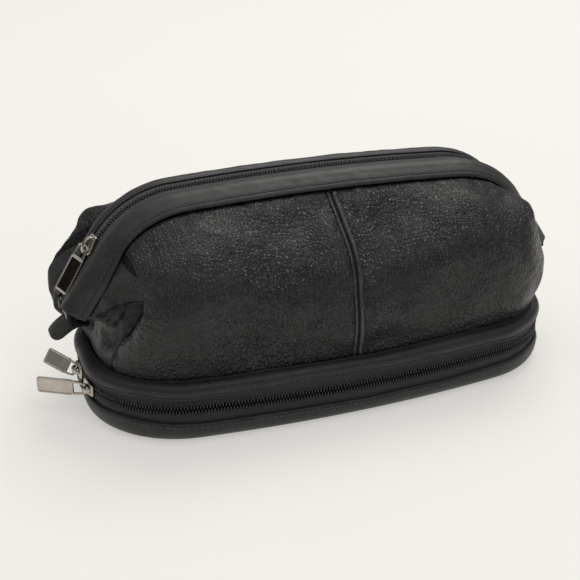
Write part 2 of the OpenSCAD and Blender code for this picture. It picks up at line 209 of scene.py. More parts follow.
def near_line(points: np.ndarray, line: np.ndarray) -> np.ndarray:
    """Distance from each point to a polyline.

    Args:
        points: Points, last axis XYZ.
        line: Corners of the polyline.

    Returns:
        Distances in the points' own unit.
    """
    best = np.full(points.shape[:-1], 1e9)
    for a, b in zip(line[:-1], line[1:]):
        ab = b - a
        t = np.clip(((points - a) @ ab) / max(float(ab @ ab), 1e-9), 0, 1)
        best = np.minimum(best, np.linalg.norm(points - (a + t[..., None] * ab), axis=-1))
    return best


def new_object(name: str, mesh: bpy.types.Mesh) -> bpy.types.Object:
    """Link a mesh to the scene as a smooth-shaded object that remembers its rest place."""
    for old in [a for a in mesh.attributes if a.name == REST]:
        mesh.attributes.remove(old)
    place = np.empty(len(mesh.vertices) * 3, np.float32)
    mesh.vertices.foreach_get("co", place)
    mesh.attributes.new(REST, "FLOAT_VECTOR", "POINT").data.foreach_set("vector", place)
    mesh.polygons.foreach_set("use_smooth", [True] * len(mesh.polygons))
    made = bpy.data.objects.new(name, mesh)
    bpy.context.scene.collection.objects.link(made)
    return made


def outward(mesh: bpy.types.Mesh) -> None:
    """Merge doubled points of a closed mesh and turn its faces outwards."""
    work = bmesh.new()
    work.from_mesh(mesh)
    bmesh.ops.remove_doubles(work, verts=work.verts, dist=1e-6)
    bmesh.ops.recalc_face_normals(work, faces=work.faces)
    work.to_mesh(mesh)
    work.free()


def grid_faces(rows: int, columns: int, closed_rows: bool, closed_columns: bool) -> list[tuple[int, ...]]:
    """Quads of a grid, by index of its points."""
    faces = []
    for i in range(rows if closed_rows else rows - 1):
        for j in range(columns if closed_columns else columns - 1):
            k, l = (i + 1) % rows, (j + 1) % columns
            faces.append((i * columns + j, k * columns + j, k * columns + l, i * columns + l))
    return faces


def grid_object(
    name: str,
    points: Grid,
    closed_rows: bool = False,
    closed_columns: bool = False,
    caps: bool = False,
    flip: bool = False,
) -> bpy.types.Object:
    """Make a surface from a grid of points in millimetres, with a UV map in metres.

    Args:
        name: Name of the piece.
        points: Grid of points; rows run along the piece.
        closed_rows: Whether the last row joins the first.
        closed_columns: Whether each row is a ring.
        caps: Whether the first and last rings are filled.
        flip: Whether the faces turn the other way.

    Returns:
        The new object.
    """
    rows, columns = points.shape[:2]
    faces = grid_faces(rows, columns, closed_rows, closed_columns)
    if flip:
        faces = [f[::-1] for f in faces]
    if caps:
        faces.append(tuple(range(columns)))
        faces.append(tuple(range((rows - 1) * columns, rows * columns))[::-1])
    mesh = bpy.data.meshes.new(name)
    mesh.from_pydata((points.reshape(-1, 3) * MM).tolist(), [], faces)
    along = np.linalg.norm(np.diff(points, axis=0), axis=-1).mean(axis=1)
    across = np.linalg.norm(np.diff(points, axis=1), axis=-1).mean(axis=0)
    u = np.concatenate([[0], np.cumsum(along)]) * MM
    v = np.concatenate([[0], np.cumsum(across)]) * MM
    corner = np.empty(len(mesh.loops), int)
    mesh.loops.foreach_get("vertex_index", corner)
    chart = np.stack([u[corner // columns], v[corner % columns]], axis=-1)
    layer = mesh.uv_layers.new(name="UVMap")
    layer.data.foreach_set("uv", chart.astype(np.float32).ravel())
    if closed_columns and (caps or closed_rows):
        outward(mesh)
    return new_object(name, mesh)


def stacked(outline: np.ndarray, layers: Sequence[tuple[float, float]], crown: float = 0.0) -> tuple[np.ndarray, list]:
    """Solid from one flat outline, drawn in by each layer's inset.

    Args:
        outline: Corners of the outline in its own plane, counter-clockwise.
        layers: Inset and height of each layer, from the bottom up.
        crown: Rise of the two closing centres past their layers.

    Returns:
        Points in millimetres and faces by index.
    """
    back, ahead = np.roll(outline, 1, axis=0), np.roll(outline, -1, axis=0)
    run = ahead - back
    out = np.stack([run[:, 1], -run[:, 0]], axis=-1)
    out /= np.maximum(np.linalg.norm(out, axis=1, keepdims=True), 1e-9)
    n = len(outline)
    points = [np.column_stack([outline - out * inset, np.full(n, height)]) for inset, height in layers]
    faces = [
        (i * n + j, i * n + (j + 1) % n, (i + 1) * n + (j + 1) % n, (i + 1) * n + j)
        for i in range(len(layers) - 1)
        for j in range(n)
    ]
    middle = outline.mean(axis=0)
    low, high = len(layers) * n, len(layers) * n + 1
    points.append(np.array([[*middle, layers[0][1] - crown], [*middle, layers[-1][1] + crown]]))
    faces += [(low, (j + 1) % n, j) for j in range(n)]
    top = (len(layers) - 1) * n
    faces += [(high, top + j, top + (j + 1) % n) for j in range(n)]
    return np.concatenate(points), faces


def tube(
    path: np.ndarray, across: np.ndarray, width: float, height: float, closed: bool = False
) -> tuple[np.ndarray, list]:
    """Bar of rounded section along a path.

    Args:
        path: Points of the path.
        across: Unit vectors of the section's width, one for each point.
        width: Full width of the section.
        height: Full height of the section.
        closed: Whether the path is a loop.

    Returns:
        Points in millimetres and faces by index.
    """
    if closed:
        ahead = np.roll(path, -1, axis=0) - np.roll(path, 1, axis=0)
    else:
        ahead = np.gradient(path, axis=0)
    ahead /= np.linalg.norm(ahead, axis=1, keepdims=True)
    up = np.cross(ahead, across)
    up /= np.maximum(np.linalg.norm(up, axis=1, keepdims=True), 1e-9)
    turn = np.linspace(0, 2 * math.pi, 13)[:-1]
    c, s = np.cos(turn), np.sin(turn)
    square = np.stack([np.sign(c) * np.abs(c) ** 0.6, np.sign(s) * np.abs(s) ** 0.6], axis=-1) / 2
    rings = path[:, None] + across[:, None] * square[None, :, :1] * width + up[:, None] * square[None, :, 1:] * height
    n, m = rings.shape[:2]
    faces = grid_faces(n, m, closed, True)
    if not closed:
        faces += [tuple(range(m)), tuple(range((n - 1) * m, n * m))[::-1]]
    return rings.reshape(-1, 3), faces


def solid_object(
    name: str, shells: Sequence[tuple[np.ndarray, list]], place: np.ndarray | None = None
) -> bpy.types.Object:
    """Join closed shells into one object.

    Args:
        name: Name of the piece.
        shells: Points and faces of each shell, in millimetres.
        place: Matrix that carries the points to the bag's frame.

    Returns:
        The new object.
    """
    points, faces, start = [], [], 0
    for shell, sides in shells:
        points.append(shell)
        faces += [tuple(start + i for i in f) for f in sides]
        start += len(shell)
    every = np.concatenate(points)
    if place is not None:
        every = every @ place[:3, :3].T + place[:3, 3]
    mesh = bpy.data.meshes.new(name)
    mesh.from_pydata((every * MM).tolist(), [], faces)
    outward(mesh)
    made = new_object(name, mesh)
    # The closing fans are flat; smoothed, their long triangles would show in a reflection.
    mesh.polygons.foreach_set("use_smooth", [len(face.vertices) > 3 for face in mesh.polygons])
    return made


def dress(piece: bpy.types.Object, material: bpy.types.Material) -> bpy.types.Object:
    """Give a piece its one material."""
    piece.data.materials.clear()
    piece.data.materials.append(material)
    return piece


def thicken(piece: bpy.types.Object, thickness: float, offset: float = -1.0) -> bpy.types.Object:
    """Give a sheet its thickness in millimetres, behind its face by default."""
    wall = piece.modifiers.new("Thickness", "SOLIDIFY")
    wall.thickness = thickness * MM
    wall.offset = offset
    return piece


def finish_piece(
    piece: bpy.types.Object,
    slot: str,
    body: str | None = None,
    replaces: Sequence[str] = (),
) -> bpy.types.Object:
    """Attach a piece to the body that carries it, hide the plain nodes it stands for and log its slot.

    Args:
        piece: The finished piece.
        slot: Material slot, which only goes to the log.
        body: Body that carries it; a piece that bends has none.
        replaces: Plain nodes that it stands for.

    Returns:
        The same piece.
    """
    if body:
        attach(piece, body)
    if replaces:
        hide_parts(*replaces)
    log.info("%s: %d faces, slot %s", piece.name, len(piece.data.polygons), slot)
    return piece


# ---- rules of the shape ----


@dataclass(frozen=True)
class BaseOutline:
    """Plan of the base: bowed sides, round corners and short straight ends."""

    half_length: float = 133.0
    half_depth: float = 67.0
    corner_radius: float = 54.0
    end_flat: float = 16.0

    @property
    def corner(self) -> tuple[float, float]:
        """Middle of a corner's arc, from the bag's middle."""
        return self.half_length - self.corner_radius, self.end_flat / 2

    @property
    def side_radius(self) -> float:
        """Radius of the bowed front and back."""
        x, y = self.corner
        lift = self.half_depth - y
        return (x * x + lift * lift - self.corner_radius**2) / (2 * (lift - self.corner_radius))

    @property
    def side_angle(self) -> float:
        """Angle of half a bowed side, in radians."""
        return math.asin(self.corner[0] / (self.side_radius - self.corner_radius))

    @property
    def quarter(self) -> float:
        """Length of a quarter of the outline."""
        corner = self.corner_radius * (math.pi / 2 - self.side_angle)
        return self.side_radius * self.side_angle + corner + self.end_flat / 2

    def at(self, run: np.ndarray | float, inset: np.ndarray | float = 0.0) -> np.ndarray:
        """Points of the outline.

        Args:
            run: Distance from the front's middle, by way of the left end.
            inset: Distance in from the outline.

        Returns:
            X and Y in the last axis.
        """
        run, inset = np.broadcast_arrays(np.asarray(run, float), np.asarray(inset, float))
        quarter = self.quarter
        run = np.mod(run, 4 * quarter)
        part = np.minimum((run // quarter).astype(int), 3)
        s = np.where(part % 2 == 0, run - part * quarter, (part + 1) * quarter - run)
        side = self.side_radius * self.side_angle
        a = s / self.side_radius
        b = self.side_angle + (s - side) / self.corner_radius
        r, c = self.side_radius - inset, self.corner_radius - inset
        on_side, on_corner = s <= side, b <= math.pi / 2
        x = np.where(
            on_side, -r * np.sin(a), np.where(on_corner, -self.corner[0] - c * np.sin(b), inset - self.half_length)
        )
        y = np.where(
            on_side,
            self.side_radius - self.half_depth - r * np.cos(a),
            np.where(on_corner, -self.corner[1] - c * np.cos(b), s - quarter),
        )
        x = np.where(part >= 2, -x, x)
        y = np.where((part == 1) | (part == 2), -y, y)
        return np.stack([x, y], axis=-1)

    def loop(self, count: int) -> np.ndarray:
        """Even places round the whole outline."""
        return np.arange(count) * 4 * self.quarter / count

    def band(self, runs: np.ndarray, profile: np.ndarray) -> Grid:
        """Sweep a profile of inset and height along the outline."""
        flat = self.at(runs[:, None], profile[None, :, 0])
        return np.concatenate([flat, np.broadcast_to(profile[None, :, 1:], (*flat.shape[:2], 1))], axis=-1)


@dataclass(frozen=True)
class ZipArch:
    """Side view of the top zip: crowned top, round shoulders, straight leaning arms."""

    height: float = 117.8
    half_span: float = 140.9
    end_height: float = 61.5
    shoulder_radius: float = 54.4
    crown_radius: float = 1228.0
    lean: float = math.radians(35.2)

    @property
    def crown_angle(self) -> float:
        """Angle of half the crowned top, in radians."""
        c, s = math.cos(self.lean), math.sin(self.lean)
        reach = self.half_span * c + (self.end_height - self.height + self.crown_radius) * s
        return math.asin((reach - self.shoulder_radius) / (self.crown_radius - self.shoulder_radius)) - self.lean

    @property
    def shoulder(self) -> tuple[float, float]:
        """Middle of a shoulder's arc, as distance from the middle and height."""
        r = self.crown_radius - self.shoulder_radius
        a = self.crown_angle
        return r * math.sin(a), self.height - self.crown_radius + r * math.cos(a)

    @property
    def crown(self) -> float:
        """Length of half the crowned top."""
        return self.crown_radius * self.crown_angle

    @property
    def bend(self) -> float:
        """Length from the middle to the top of an arm."""
        return self.crown + self.shoulder_radius * (math.pi / 2 - self.lean - self.crown_angle)

    @property
    def length(self) -> float:
        """Length from the middle to the lower end of an arm."""
        top = self.shoulder[0] + self.shoulder_radius * math.cos(self.lean)
        return self.bend + (self.half_span - top) / math.sin(self.lean)

    def at(self, run: np.ndarray | float, drop: np.ndarray | float, out: np.ndarray | float) -> np.ndarray:
        """Points on or under the arch.

        Args:
            run: Distance from the middle, negative to the left.
            drop: Distance below the zip, square to it.
            out: Distance to the front of the zip's middle.

        Returns:
            XYZ in the last axis.
        """
        run, drop, out = np.broadcast_arrays(*(np.asarray(v, float) for v in (run, drop, out)))
        side, t = np.where(run < 0, -1.0, 1.0), np.abs(run)
        a = t / self.crown_radius
        b = self.crown_angle + (t - self.crown) / self.shoulder_radius
        u = t - self.bend
        r, c = self.crown_radius - drop, self.shoulder_radius - drop
        sx, sz = self.shoulder
        cos, sin = math.cos(self.lean), math.sin(self.lean)
        on_crown, on_bend = t <= self.crown, t <= self.bend
        x = np.where(on_crown, r * np.sin(a), np.where(on_bend, sx + c * np.sin(b), sx + c * cos + u * sin))
        z = np.where(
            on_crown,
            self.height - self.crown_radius + r * np.cos(a),
            np.where(on_bend, sz + c * np.cos(b), sz + c * sin - u * cos),
        )
        return np.stack([side * x, -out, z], axis=-1)


# ---- finishes ----


def start_material(name: str) -> tuple[bpy.types.Material, bpy.types.NodeTree, Any]:
    """Make an empty node material with one Principled shader."""
    material = bpy.data.materials.new(name)
    material.use_nodes = True
    tree = material.node_tree
    tree.nodes.clear()
    shader = add_node(tree, "ShaderNodeBsdfPrincipled")
    add_node(tree, "ShaderNodeOutputMaterial", {"Surface": shader.outputs["BSDF"]})
    return material, tree, shader


def place_socket(tree: bpy.types.NodeTree, place: Place) -> Any:
    """Output socket with the coordinates that a pattern reads."""
    if place is Place.OBJECT:
        return add_node(tree, "ShaderNodeTexCoord").outputs["Object"]
    return add_node(tree, "ShaderNodeAttribute", attribute_name=REST).outputs["Vector"]


def pitch(size_mm: float) -> float:
    """Texture scale that repeats once in a size given in millimetres."""
    return 1 / (size_mm * MM)


@dataclass(frozen=True)
class Leather:
    """Drum-dyed cowhide with a sealed surface: bumped pebbles, with painted shade that darkens the hollows between
    them.
    """

    name: str
    colour: str
    hollow: str
    worn: str
    pebble: float
    relief: float
    gloss: float
    dull: float
    patch: float = 38.0
    sheen: float = 0.03
    specular: float = 0.4
    stretch: float = 1.0

    def material(self) -> bpy.types.Material:
        """Build the node material."""
        material, tree, shader = start_material(self.name)
        here = place_socket(tree, Place.REST)
        drift = add_node(
            tree, "ShaderNodeTexNoise", {"Vector": here, "Scale": pitch(self.pebble * 2.6), "Detail": 2.0}
        )
        bent = add_node(
            tree, "ShaderNodeVectorMath", {0: drift.outputs["Color"], 1: (self.pebble * MM * 1.1,) * 3},
            operation="MULTIPLY",
        )
        shifted = add_node(tree, "ShaderNodeVectorMath", {0: here, 1: bent.outputs[0]}, operation="ADD")
        # Hide stretched over the body draws its pebbles out upwards, leaning with the pull of the frame.
        spot = add_node(
            tree, "ShaderNodeMapping",
            {"Vector": shifted.outputs[0], "Rotation": (0, 0.42, 0), "Scale": (1, 1, 1 / self.stretch)},
        )
        cells = add_node(
            tree, "ShaderNodeTexVoronoi", {"Vector": spot.outputs[0], "Scale": pitch(self.pebble)},
            feature="DISTANCE_TO_EDGE",
        )
        dome = add_node(
            tree, "ShaderNodeMapRange",
            {"Value": cells.outputs["Distance"], "From Min": 0.0, "From Max": 0.32, "To Min": 0.0, "To Max": 1.0},
            interpolation_type="SMOOTHERSTEP",
        )
        fine = add_node(
            tree, "ShaderNodeTexNoise", {"Vector": here, "Scale": pitch(self.pebble * 0.32), "Detail": 3.0}
        )
        pull = add_node(
            tree, "ShaderNodeTexNoise", {"Vector": here, "Scale": pitch(self.patch), "Detail": 3.0, "Roughness": 0.6}
        )
        firm = add_node(
            tree, "ShaderNodeMapRange",
            {"Value": pull.outputs["Fac"], "From Min": 0.36, "From Max": 0.64, "To Min": 0.5, "To Max": 1.0},
        )
        lift = add_node(
            tree, "ShaderNodeMath", {0: dome.outputs["Result"], 1: firm.outputs["Result"]}, operation="MULTIPLY"
        )
        height = add_node(
            tree, "ShaderNodeMath", {0: fine.outputs["Fac"], 1: 0.22, 2: lift.outputs[0]}, operation="MULTIPLY_ADD"
        )
        bump = add_node(
            tree, "ShaderNodeBump", {"Height": height.outputs[0], "Distance": self.relief * MM, "Strength": 1.0}
        )
        # Painted shade: the grain's hollows take the darker hollow colour and the pebble tops the leather's own colour.
        body = add_node(
            tree, "ShaderNodeMix",
            {0: dome.outputs["Result"], 6: linear(self.hollow), 7: linear(self.colour)}, data_type="RGBA",
        )
        rubbed = add_node(
            tree, "ShaderNodeTexNoise",
            {"Vector": here, "Scale": pitch(self.patch * 0.55), "Detail": 6.0, "Roughness": 0.68},
        )
        rub = add_node(
            tree, "ShaderNodeMapRange",
            {"Value": rubbed.outputs["Fac"], "From Min": 0.5, "From Max": 0.78, "To Min": 0.0, "To Max": 0.75},
        )
        tone = add_node(
            tree, "ShaderNodeMix",
            {0: rub.outputs["Result"], 6: body.outputs[2], 7: linear(self.worn)}, data_type="RGBA",
        )
        rough = add_node(
            tree, "ShaderNodeMapRange",
            {"Value": pull.outputs["Fac"], "From Min": 0.3, "From Max": 0.7,
             "To Min": self.dull, "To Max": self.gloss},
        )
        tree.links.new(tone.outputs[2], shader.inputs["Base Color"])
        tree.links.new(rough.outputs["Result"], shader.inputs["Roughness"])
        tree.links.new(bump.outputs["Normal"], shader.inputs["Normal"])
        shader.inputs["IOR"].default_value = 1.5
        shader.inputs["Specular IOR Level"].default_value = self.specular
        shader.inputs["Sheen Weight"].default_value = self.sheen
        shader.inputs["Sheen Roughness"].default_value = 0.5
        return material


@dataclass(frozen=True)
class Woven:
    """Polyester or nylon cloth: crossed threads, dull with a faint sheen across them."""

    name: str
    colour: str
    shade: str
    thread_along: float
    thread_across: float
    relief: float
    rough: float

    def material(self) -> bpy.types.Material:
        """Build the node material; the weave follows the piece's own UV map."""
        material, tree, shader = start_material(self.name)
        chart = add_node(tree, "ShaderNodeUVMap", uv_map="UVMap").outputs["UV"]
        sized = add_node(
            tree, "ShaderNodeMapping",
            {"Vector": chart, "Scale": (pitch(self.thread_along), pitch(self.thread_across), 1)},
        )
        # One wave of these textures is a twentieth of a turn at scale 1, so pi / 10 makes it a thread.
        ribs = add_node(
            tree, "ShaderNodeTexWave", {"Vector": sized.outputs[0], "Scale": math.pi / 10, "Distortion": 0.0},
            wave_type="BANDS", bands_direction="X",
        )
        picks = add_node(
            tree, "ShaderNodeTexWave", {"Vector": sized.outputs[0], "Scale": math.pi / 10, "Distortion": 0.0},
            wave_type="BANDS", bands_direction="Y",
        )
        weave = add_node(
            tree, "ShaderNodeMath", {0: ribs.outputs["Fac"], 1: picks.outputs["Fac"]}, operation="MULTIPLY"
        )
        fuzz = add_node(
            tree, "ShaderNodeTexNoise",
            {"Vector": place_socket(tree, Place.REST), "Scale": pitch(6.0), "Detail": 5.0},
        )
        bump = add_node(
            tree, "ShaderNodeBump", {"Height": weave.outputs[0], "Distance": self.relief * MM, "Strength": 1.0}
        )
        mixed = add_node(
            tree, "ShaderNodeMath", {0: weave.outputs[0], 1: fuzz.outputs["Fac"]}, operation="MULTIPLY", use_clamp=True
        )
        tone = add_node(
            tree, "ShaderNodeMix",
            {0: mixed.outputs[0], 6: linear(self.shade), 7: linear(self.colour)}, data_type="RGBA",
        )
        tree.links.new(tone.outputs[2], shader.inputs["Base Color"])
        tree.links.new(bump.outputs["Normal"], shader.inputs["Normal"])
        shader.inputs["Roughness"].default_value = self.rough
        shader.inputs["Sheen Weight"].default_value = 0.2
        return material


@dataclass(frozen=True)
class Metal:
    """Plated or ground metal: mirror-like with hairline wear that softens the edges of reflections."""

    name: str
    colour: str
    tarnish: str
    gloss: float
    dull: float
    scratch: float

    def material(self, place: Place = Place.REST) -> bpy.types.Material:
        """Build the node material."""
        material, tree, shader = start_material(self.name if place is Place.REST else self.name + "_flat")
        here = place_socket(tree, place)
        cloud = add_node(tree, "ShaderNodeTexNoise", {"Vector": here, "Scale": pitch(4.0), "Detail": 6.0})
        drawn = add_node(tree, "ShaderNodeMapping", {"Vector": here, "Rotation": (0.4, 0.9, 0.3), "Scale": (1, 9, 9)})
        hair = add_node(tree, "ShaderNodeTexNoise", {"Vector": drawn.outputs[0], "Scale": pitch(1.6), "Detail": 4.0})
        bump = add_node(
            tree, "ShaderNodeBump", {"Height": hair.outputs["Fac"], "Distance": self.scratch * MM, "Strength": 0.6}
        )
        tone = add_node(
            tree, "ShaderNodeMix",
            {0: cloud.outputs["Fac"], 6: linear(self.colour), 7: linear(self.tarnish)}, data_type="RGBA",
        )
        rough = add_node(
            tree, "ShaderNodeMapRange",
            {"Value": cloud.outputs["Fac"], "From Min": 0.35, "From Max": 0.7,
             "To Min": self.gloss, "To Max": self.dull},
        )
        tree.links.new(tone.outputs[2], shader.inputs["Base Color"])
        tree.links.new(rough.outputs["Result"], shader.inputs["Roughness"])
        tree.links.new(bump.outputs["Normal"], shader.inputs["Normal"])
        shader.inputs["Metallic"].default_value = 1.0
        return material


@dataclass(frozen=True)
class Moulded:
    """Nylon coil, waxed thread or pressed board: one tone broken by a fine surface."""

    name: str
    colour: str
    shade: str
    speck: float
    relief: float
    rough: float

    def material(self, place: Place = Place.REST) -> bpy.types.Material:
        """Build the node material."""
        material, tree, shader = start_material(self.name)
        here = place_socket(tree, place)
        grain = add_node(tree, "ShaderNodeTexNoise", {"Vector": here, "Scale": pitch(self.speck), "Detail": 5.0})
        broad = add_node(tree, "ShaderNodeTexNoise", {"Vector": here, "Scale": pitch(self.speck * 22), "Detail": 3.0})
        bump = add_node(
            tree, "ShaderNodeBump", {"Height": grain.outputs["Fac"], "Distance": self.relief * MM, "Strength": 0.8}
        )
        tone = add_node(
            tree, "ShaderNodeMix",
            {0: broad.outputs["Fac"], 6: linear(self.shade), 7: linear(self.colour)}, data_type="RGBA",
        )
        tree.links.new(tone.outputs[2], shader.inputs["Base Color"])
        tree.links.new(bump.outputs["Normal"], shader.inputs["Normal"])
        shader.inputs["Roughness"].default_value = self.rough
        return material


@dataclass
class Finishes:
    """Every finish of the bag, each made once."""

    grained: bpy.types.Material = field(init=False)
    gathered: bpy.types.Material = field(init=False)
    smooth: bpy.types.Material = field(init=False)
    band: bpy.types.Material = field(init=False)
    tape: bpy.types.Material = field(init=False)
    coil: bpy.types.Material = field(init=False)
    thread: bpy.types.Material = field(init=False)
    lining: bpy.types.Material = field(init=False)
    board: bpy.types.Material = field(init=False)
    nickel: bpy.types.Material = field(init=False)
    rivet: bpy.types.Material = field(init=False)
    dark_face: bpy.types.Material = field(init=False)
    ridge: bpy.types.Material = field(init=False)
    steel: bpy.types.Material = field(init=False)

    def __post_init__(self) -> None:
        """Make the materials."""
        self.grained = Leather(
            "pebbled_cowhide", "#1f1f20", "#111112", "#29292a", 1.75, 0.62, 0.26, 0.45, 34.0, 0.02, 0.44, 2.0
        ).material()
        # The gathered ends are the same cowhide painted lighter: painted light on leather that sits in the pocket's
        # shade.
        self.gathered = Leather(
            "pebbled_cowhide_gathered", "#2f2f30", "#1c1c1d", "#39393a", 1.5, 0.16, 0.38, 0.5, 20.0, 0.02, 0.45, 1.2
        ).material()
        self.smooth = Leather(
            "smooth_binding_leather", "#272728", "#1b1b1c", "#383836", 0.85, 0.05, 0.4, 0.52, 20.0, 0.06, 0.45, 1.3
        ).material()
        self.band = Leather(
            "smooth_band_leather", "#1e1e1f", "#151516", "#2b2b2a", 0.95, 0.06, 0.4, 0.54, 24.0, 0.05, 0.42, 1.2
        ).material()
        self.tape = Woven("woven_zip_tape", "#3a3a3d", "#1f1f21", 0.9, 1.1, 0.12, 0.75).material()
        self.coil = Moulded("nylon_zip_coil", "#39393b", "#232325", 0.5, 0.02, 0.5).material()
        self.thread = Moulded("waxed_thread", "#4d4c49", "#31302e", 0.3, 0.03, 0.45).material()
        self.lining = Woven("nylon_lining", "#5a5750", "#3d3b36", 0.8, 0.8, 0.06, 0.62).material()
        self.board = Moulded("pressed_board", "#7a6b55", "#5e513f", 0.6, 0.05, 0.9).material(Place.OBJECT)
        self.nickel = Metal("bright_nickel_plate", "#c9c4bb", "#a39d93", 0.1, 0.2, 0.004).material()
        # A dark metal for the top pull's face, standing for the dark room that it mirrors: a painted reflection.
        self.dark_face = Metal("polished_dark_face", "#403b36", "#2c2926", 0.08, 0.16, 0.003).material()
        self.ridge = Leather(
            "rolled_seam_leather", "#303031", "#222223", "#41413f", 0.85, 0.05, 0.24, 0.36, 20.0, 0.03, 0.6, 1.3
        ).material()
        self.rivet = Metal("smoked_nickel_rivet", "#4a4743", "#33312e", 0.25, 0.4, 0.006).material()
        self.steel = Metal("blued_spring_steel", "#2c2e31", "#202124", 0.35, 0.55, 0.012).material(Place.OBJECT)


# ---- repeated pieces ----


@dataclass(frozen=True)
class Row:
    """One kind of small repeated piece along a line: a coil turn or a stitch.

    The three sizes are measured along the line's normal, square to both, and along the line.
    """

    pitch: float
    normal: float
    square: float
    along: float


@dataclass
class RowMaker:
    """Sets small rounded pieces along lines with one node tree."""

    tree: bpy.types.NodeTree = field(init=False)
    sockets: dict[str, str] = field(init=False, default_factory=dict)

    def __post_init__(self) -> None:
        """Build the node tree and note its inputs' identifiers."""
        tree = bpy.data.node_groups.new("row_along_line", "GeometryNodeTree")
        face = tree.interface
        face.new_socket("Geometry", in_out="INPUT", socket_type="NodeSocketGeometry")
        for name in ("Pitch", "Normal Size", "Square Size", "Along Size"):
            self.sockets[name] = face.new_socket(name, in_out="INPUT", socket_type="NodeSocketFloat").identifier
        self.sockets["Material"] = face.new_socket(
            "Material", in_out="INPUT", socket_type="NodeSocketMaterial"
        ).identifier
        face.new_socket("Geometry", in_out="OUTPUT", socket_type="NodeSocketGeometry")
        given = add_node(tree, "NodeGroupInput").outputs
        curve = add_node(tree, "GeometryNodeMeshToCurve", {"Mesh": given["Geometry"]})
        upright = add_node(
            tree, "GeometryNodeSetCurveNormal", {"Curve": curve.outputs["Curve"]}, mode="Z_UP"
        )
        points = add_node(
            tree, "GeometryNodeCurveToPoints", {"Curve": upright.outputs["Curve"], "Length": given["Pitch"]},
            mode="LENGTH",
        )
        # A coil turn or stitch of a few dozen faces is round enough at under 3 mm.
        bead = add_node(tree, "GeometryNodeMeshUVSphere", {"Segments": 8, "Rings": 6, "Radius": 0.5})
        size = add_node(
            tree, "ShaderNodeCombineXYZ",
            {"X": given["Normal Size"], "Y": given["Square Size"], "Z": given["Along Size"]},
        )
        placed = add_node(
            tree, "GeometryNodeInstanceOnPoints",
            {"Points": points.outputs["Points"], "Instance": bead.outputs["Mesh"],
             "Rotation": points.outputs["Rotation"], "Scale": size.outputs[0]},
        )
        real = add_node(tree, "GeometryNodeRealizeInstances", {"Geometry": placed.outputs["Instances"]})
        dyed = add_node(
            tree, "GeometryNodeSetMaterial", {"Geometry": real.outputs["Geometry"], "Material": given["Material"]}
        )
        add_node(tree, "NodeGroupOutput", {"Geometry": dyed.outputs["Geometry"]})
        self.tree = tree

    def make(
        self,
        name: str,
        rows: Sequence[tuple[np.ndarray, Row]],
        material: bpy.types.Material,
    ) -> bpy.types.Object:
        """Set rows of pieces along lines and join them into one object.

        Args:
            name: Name of the piece.
            rows: Points of each line in millimetres, with the kind of piece.
            material: Finish of the pieces.

        Returns:
            One plain mesh object.
        """
        joined = bmesh.new()
        for line, row in rows:
            path = bpy.data.meshes.new("line")
            path.from_pydata((line * MM).tolist(), [(i, i + 1) for i in range(len(line) - 1)], [])
            holder = bpy.data.objects.new("line", path)
            bpy.context.scene.collection.objects.link(holder)
            nodes = holder.modifiers.new("Row", "NODES")
            nodes.node_group = self.tree
            sizes = (row.pitch, row.normal, row.square, row.along)
            for socket, value in zip(("Pitch", "Normal Size", "Square Size", "Along Size"), sizes):
                nodes[self.sockets[socket]] = value * MM
            nodes[self.sockets["Material"]] = material
            seen = holder.evaluated_get(bpy.context.evaluated_depsgraph_get())
            plain = bpy.data.meshes.new_from_object(seen)
            joined.from_mesh(plain)
            bpy.data.objects.remove(holder)
            bpy.data.meshes.remove(plain)
            bpy.data.meshes.remove(path)
        mesh = bpy.data.meshes.new(name)
        joined.to_mesh(mesh)
        joined.free()
        return dress(new_object(name, mesh), material)


STITCH = Row(pitch=3.4, normal=0.55, square=0.55, along=2.3)
COIL_PITCH = 1.6


# ---- base: tray and upper band ----


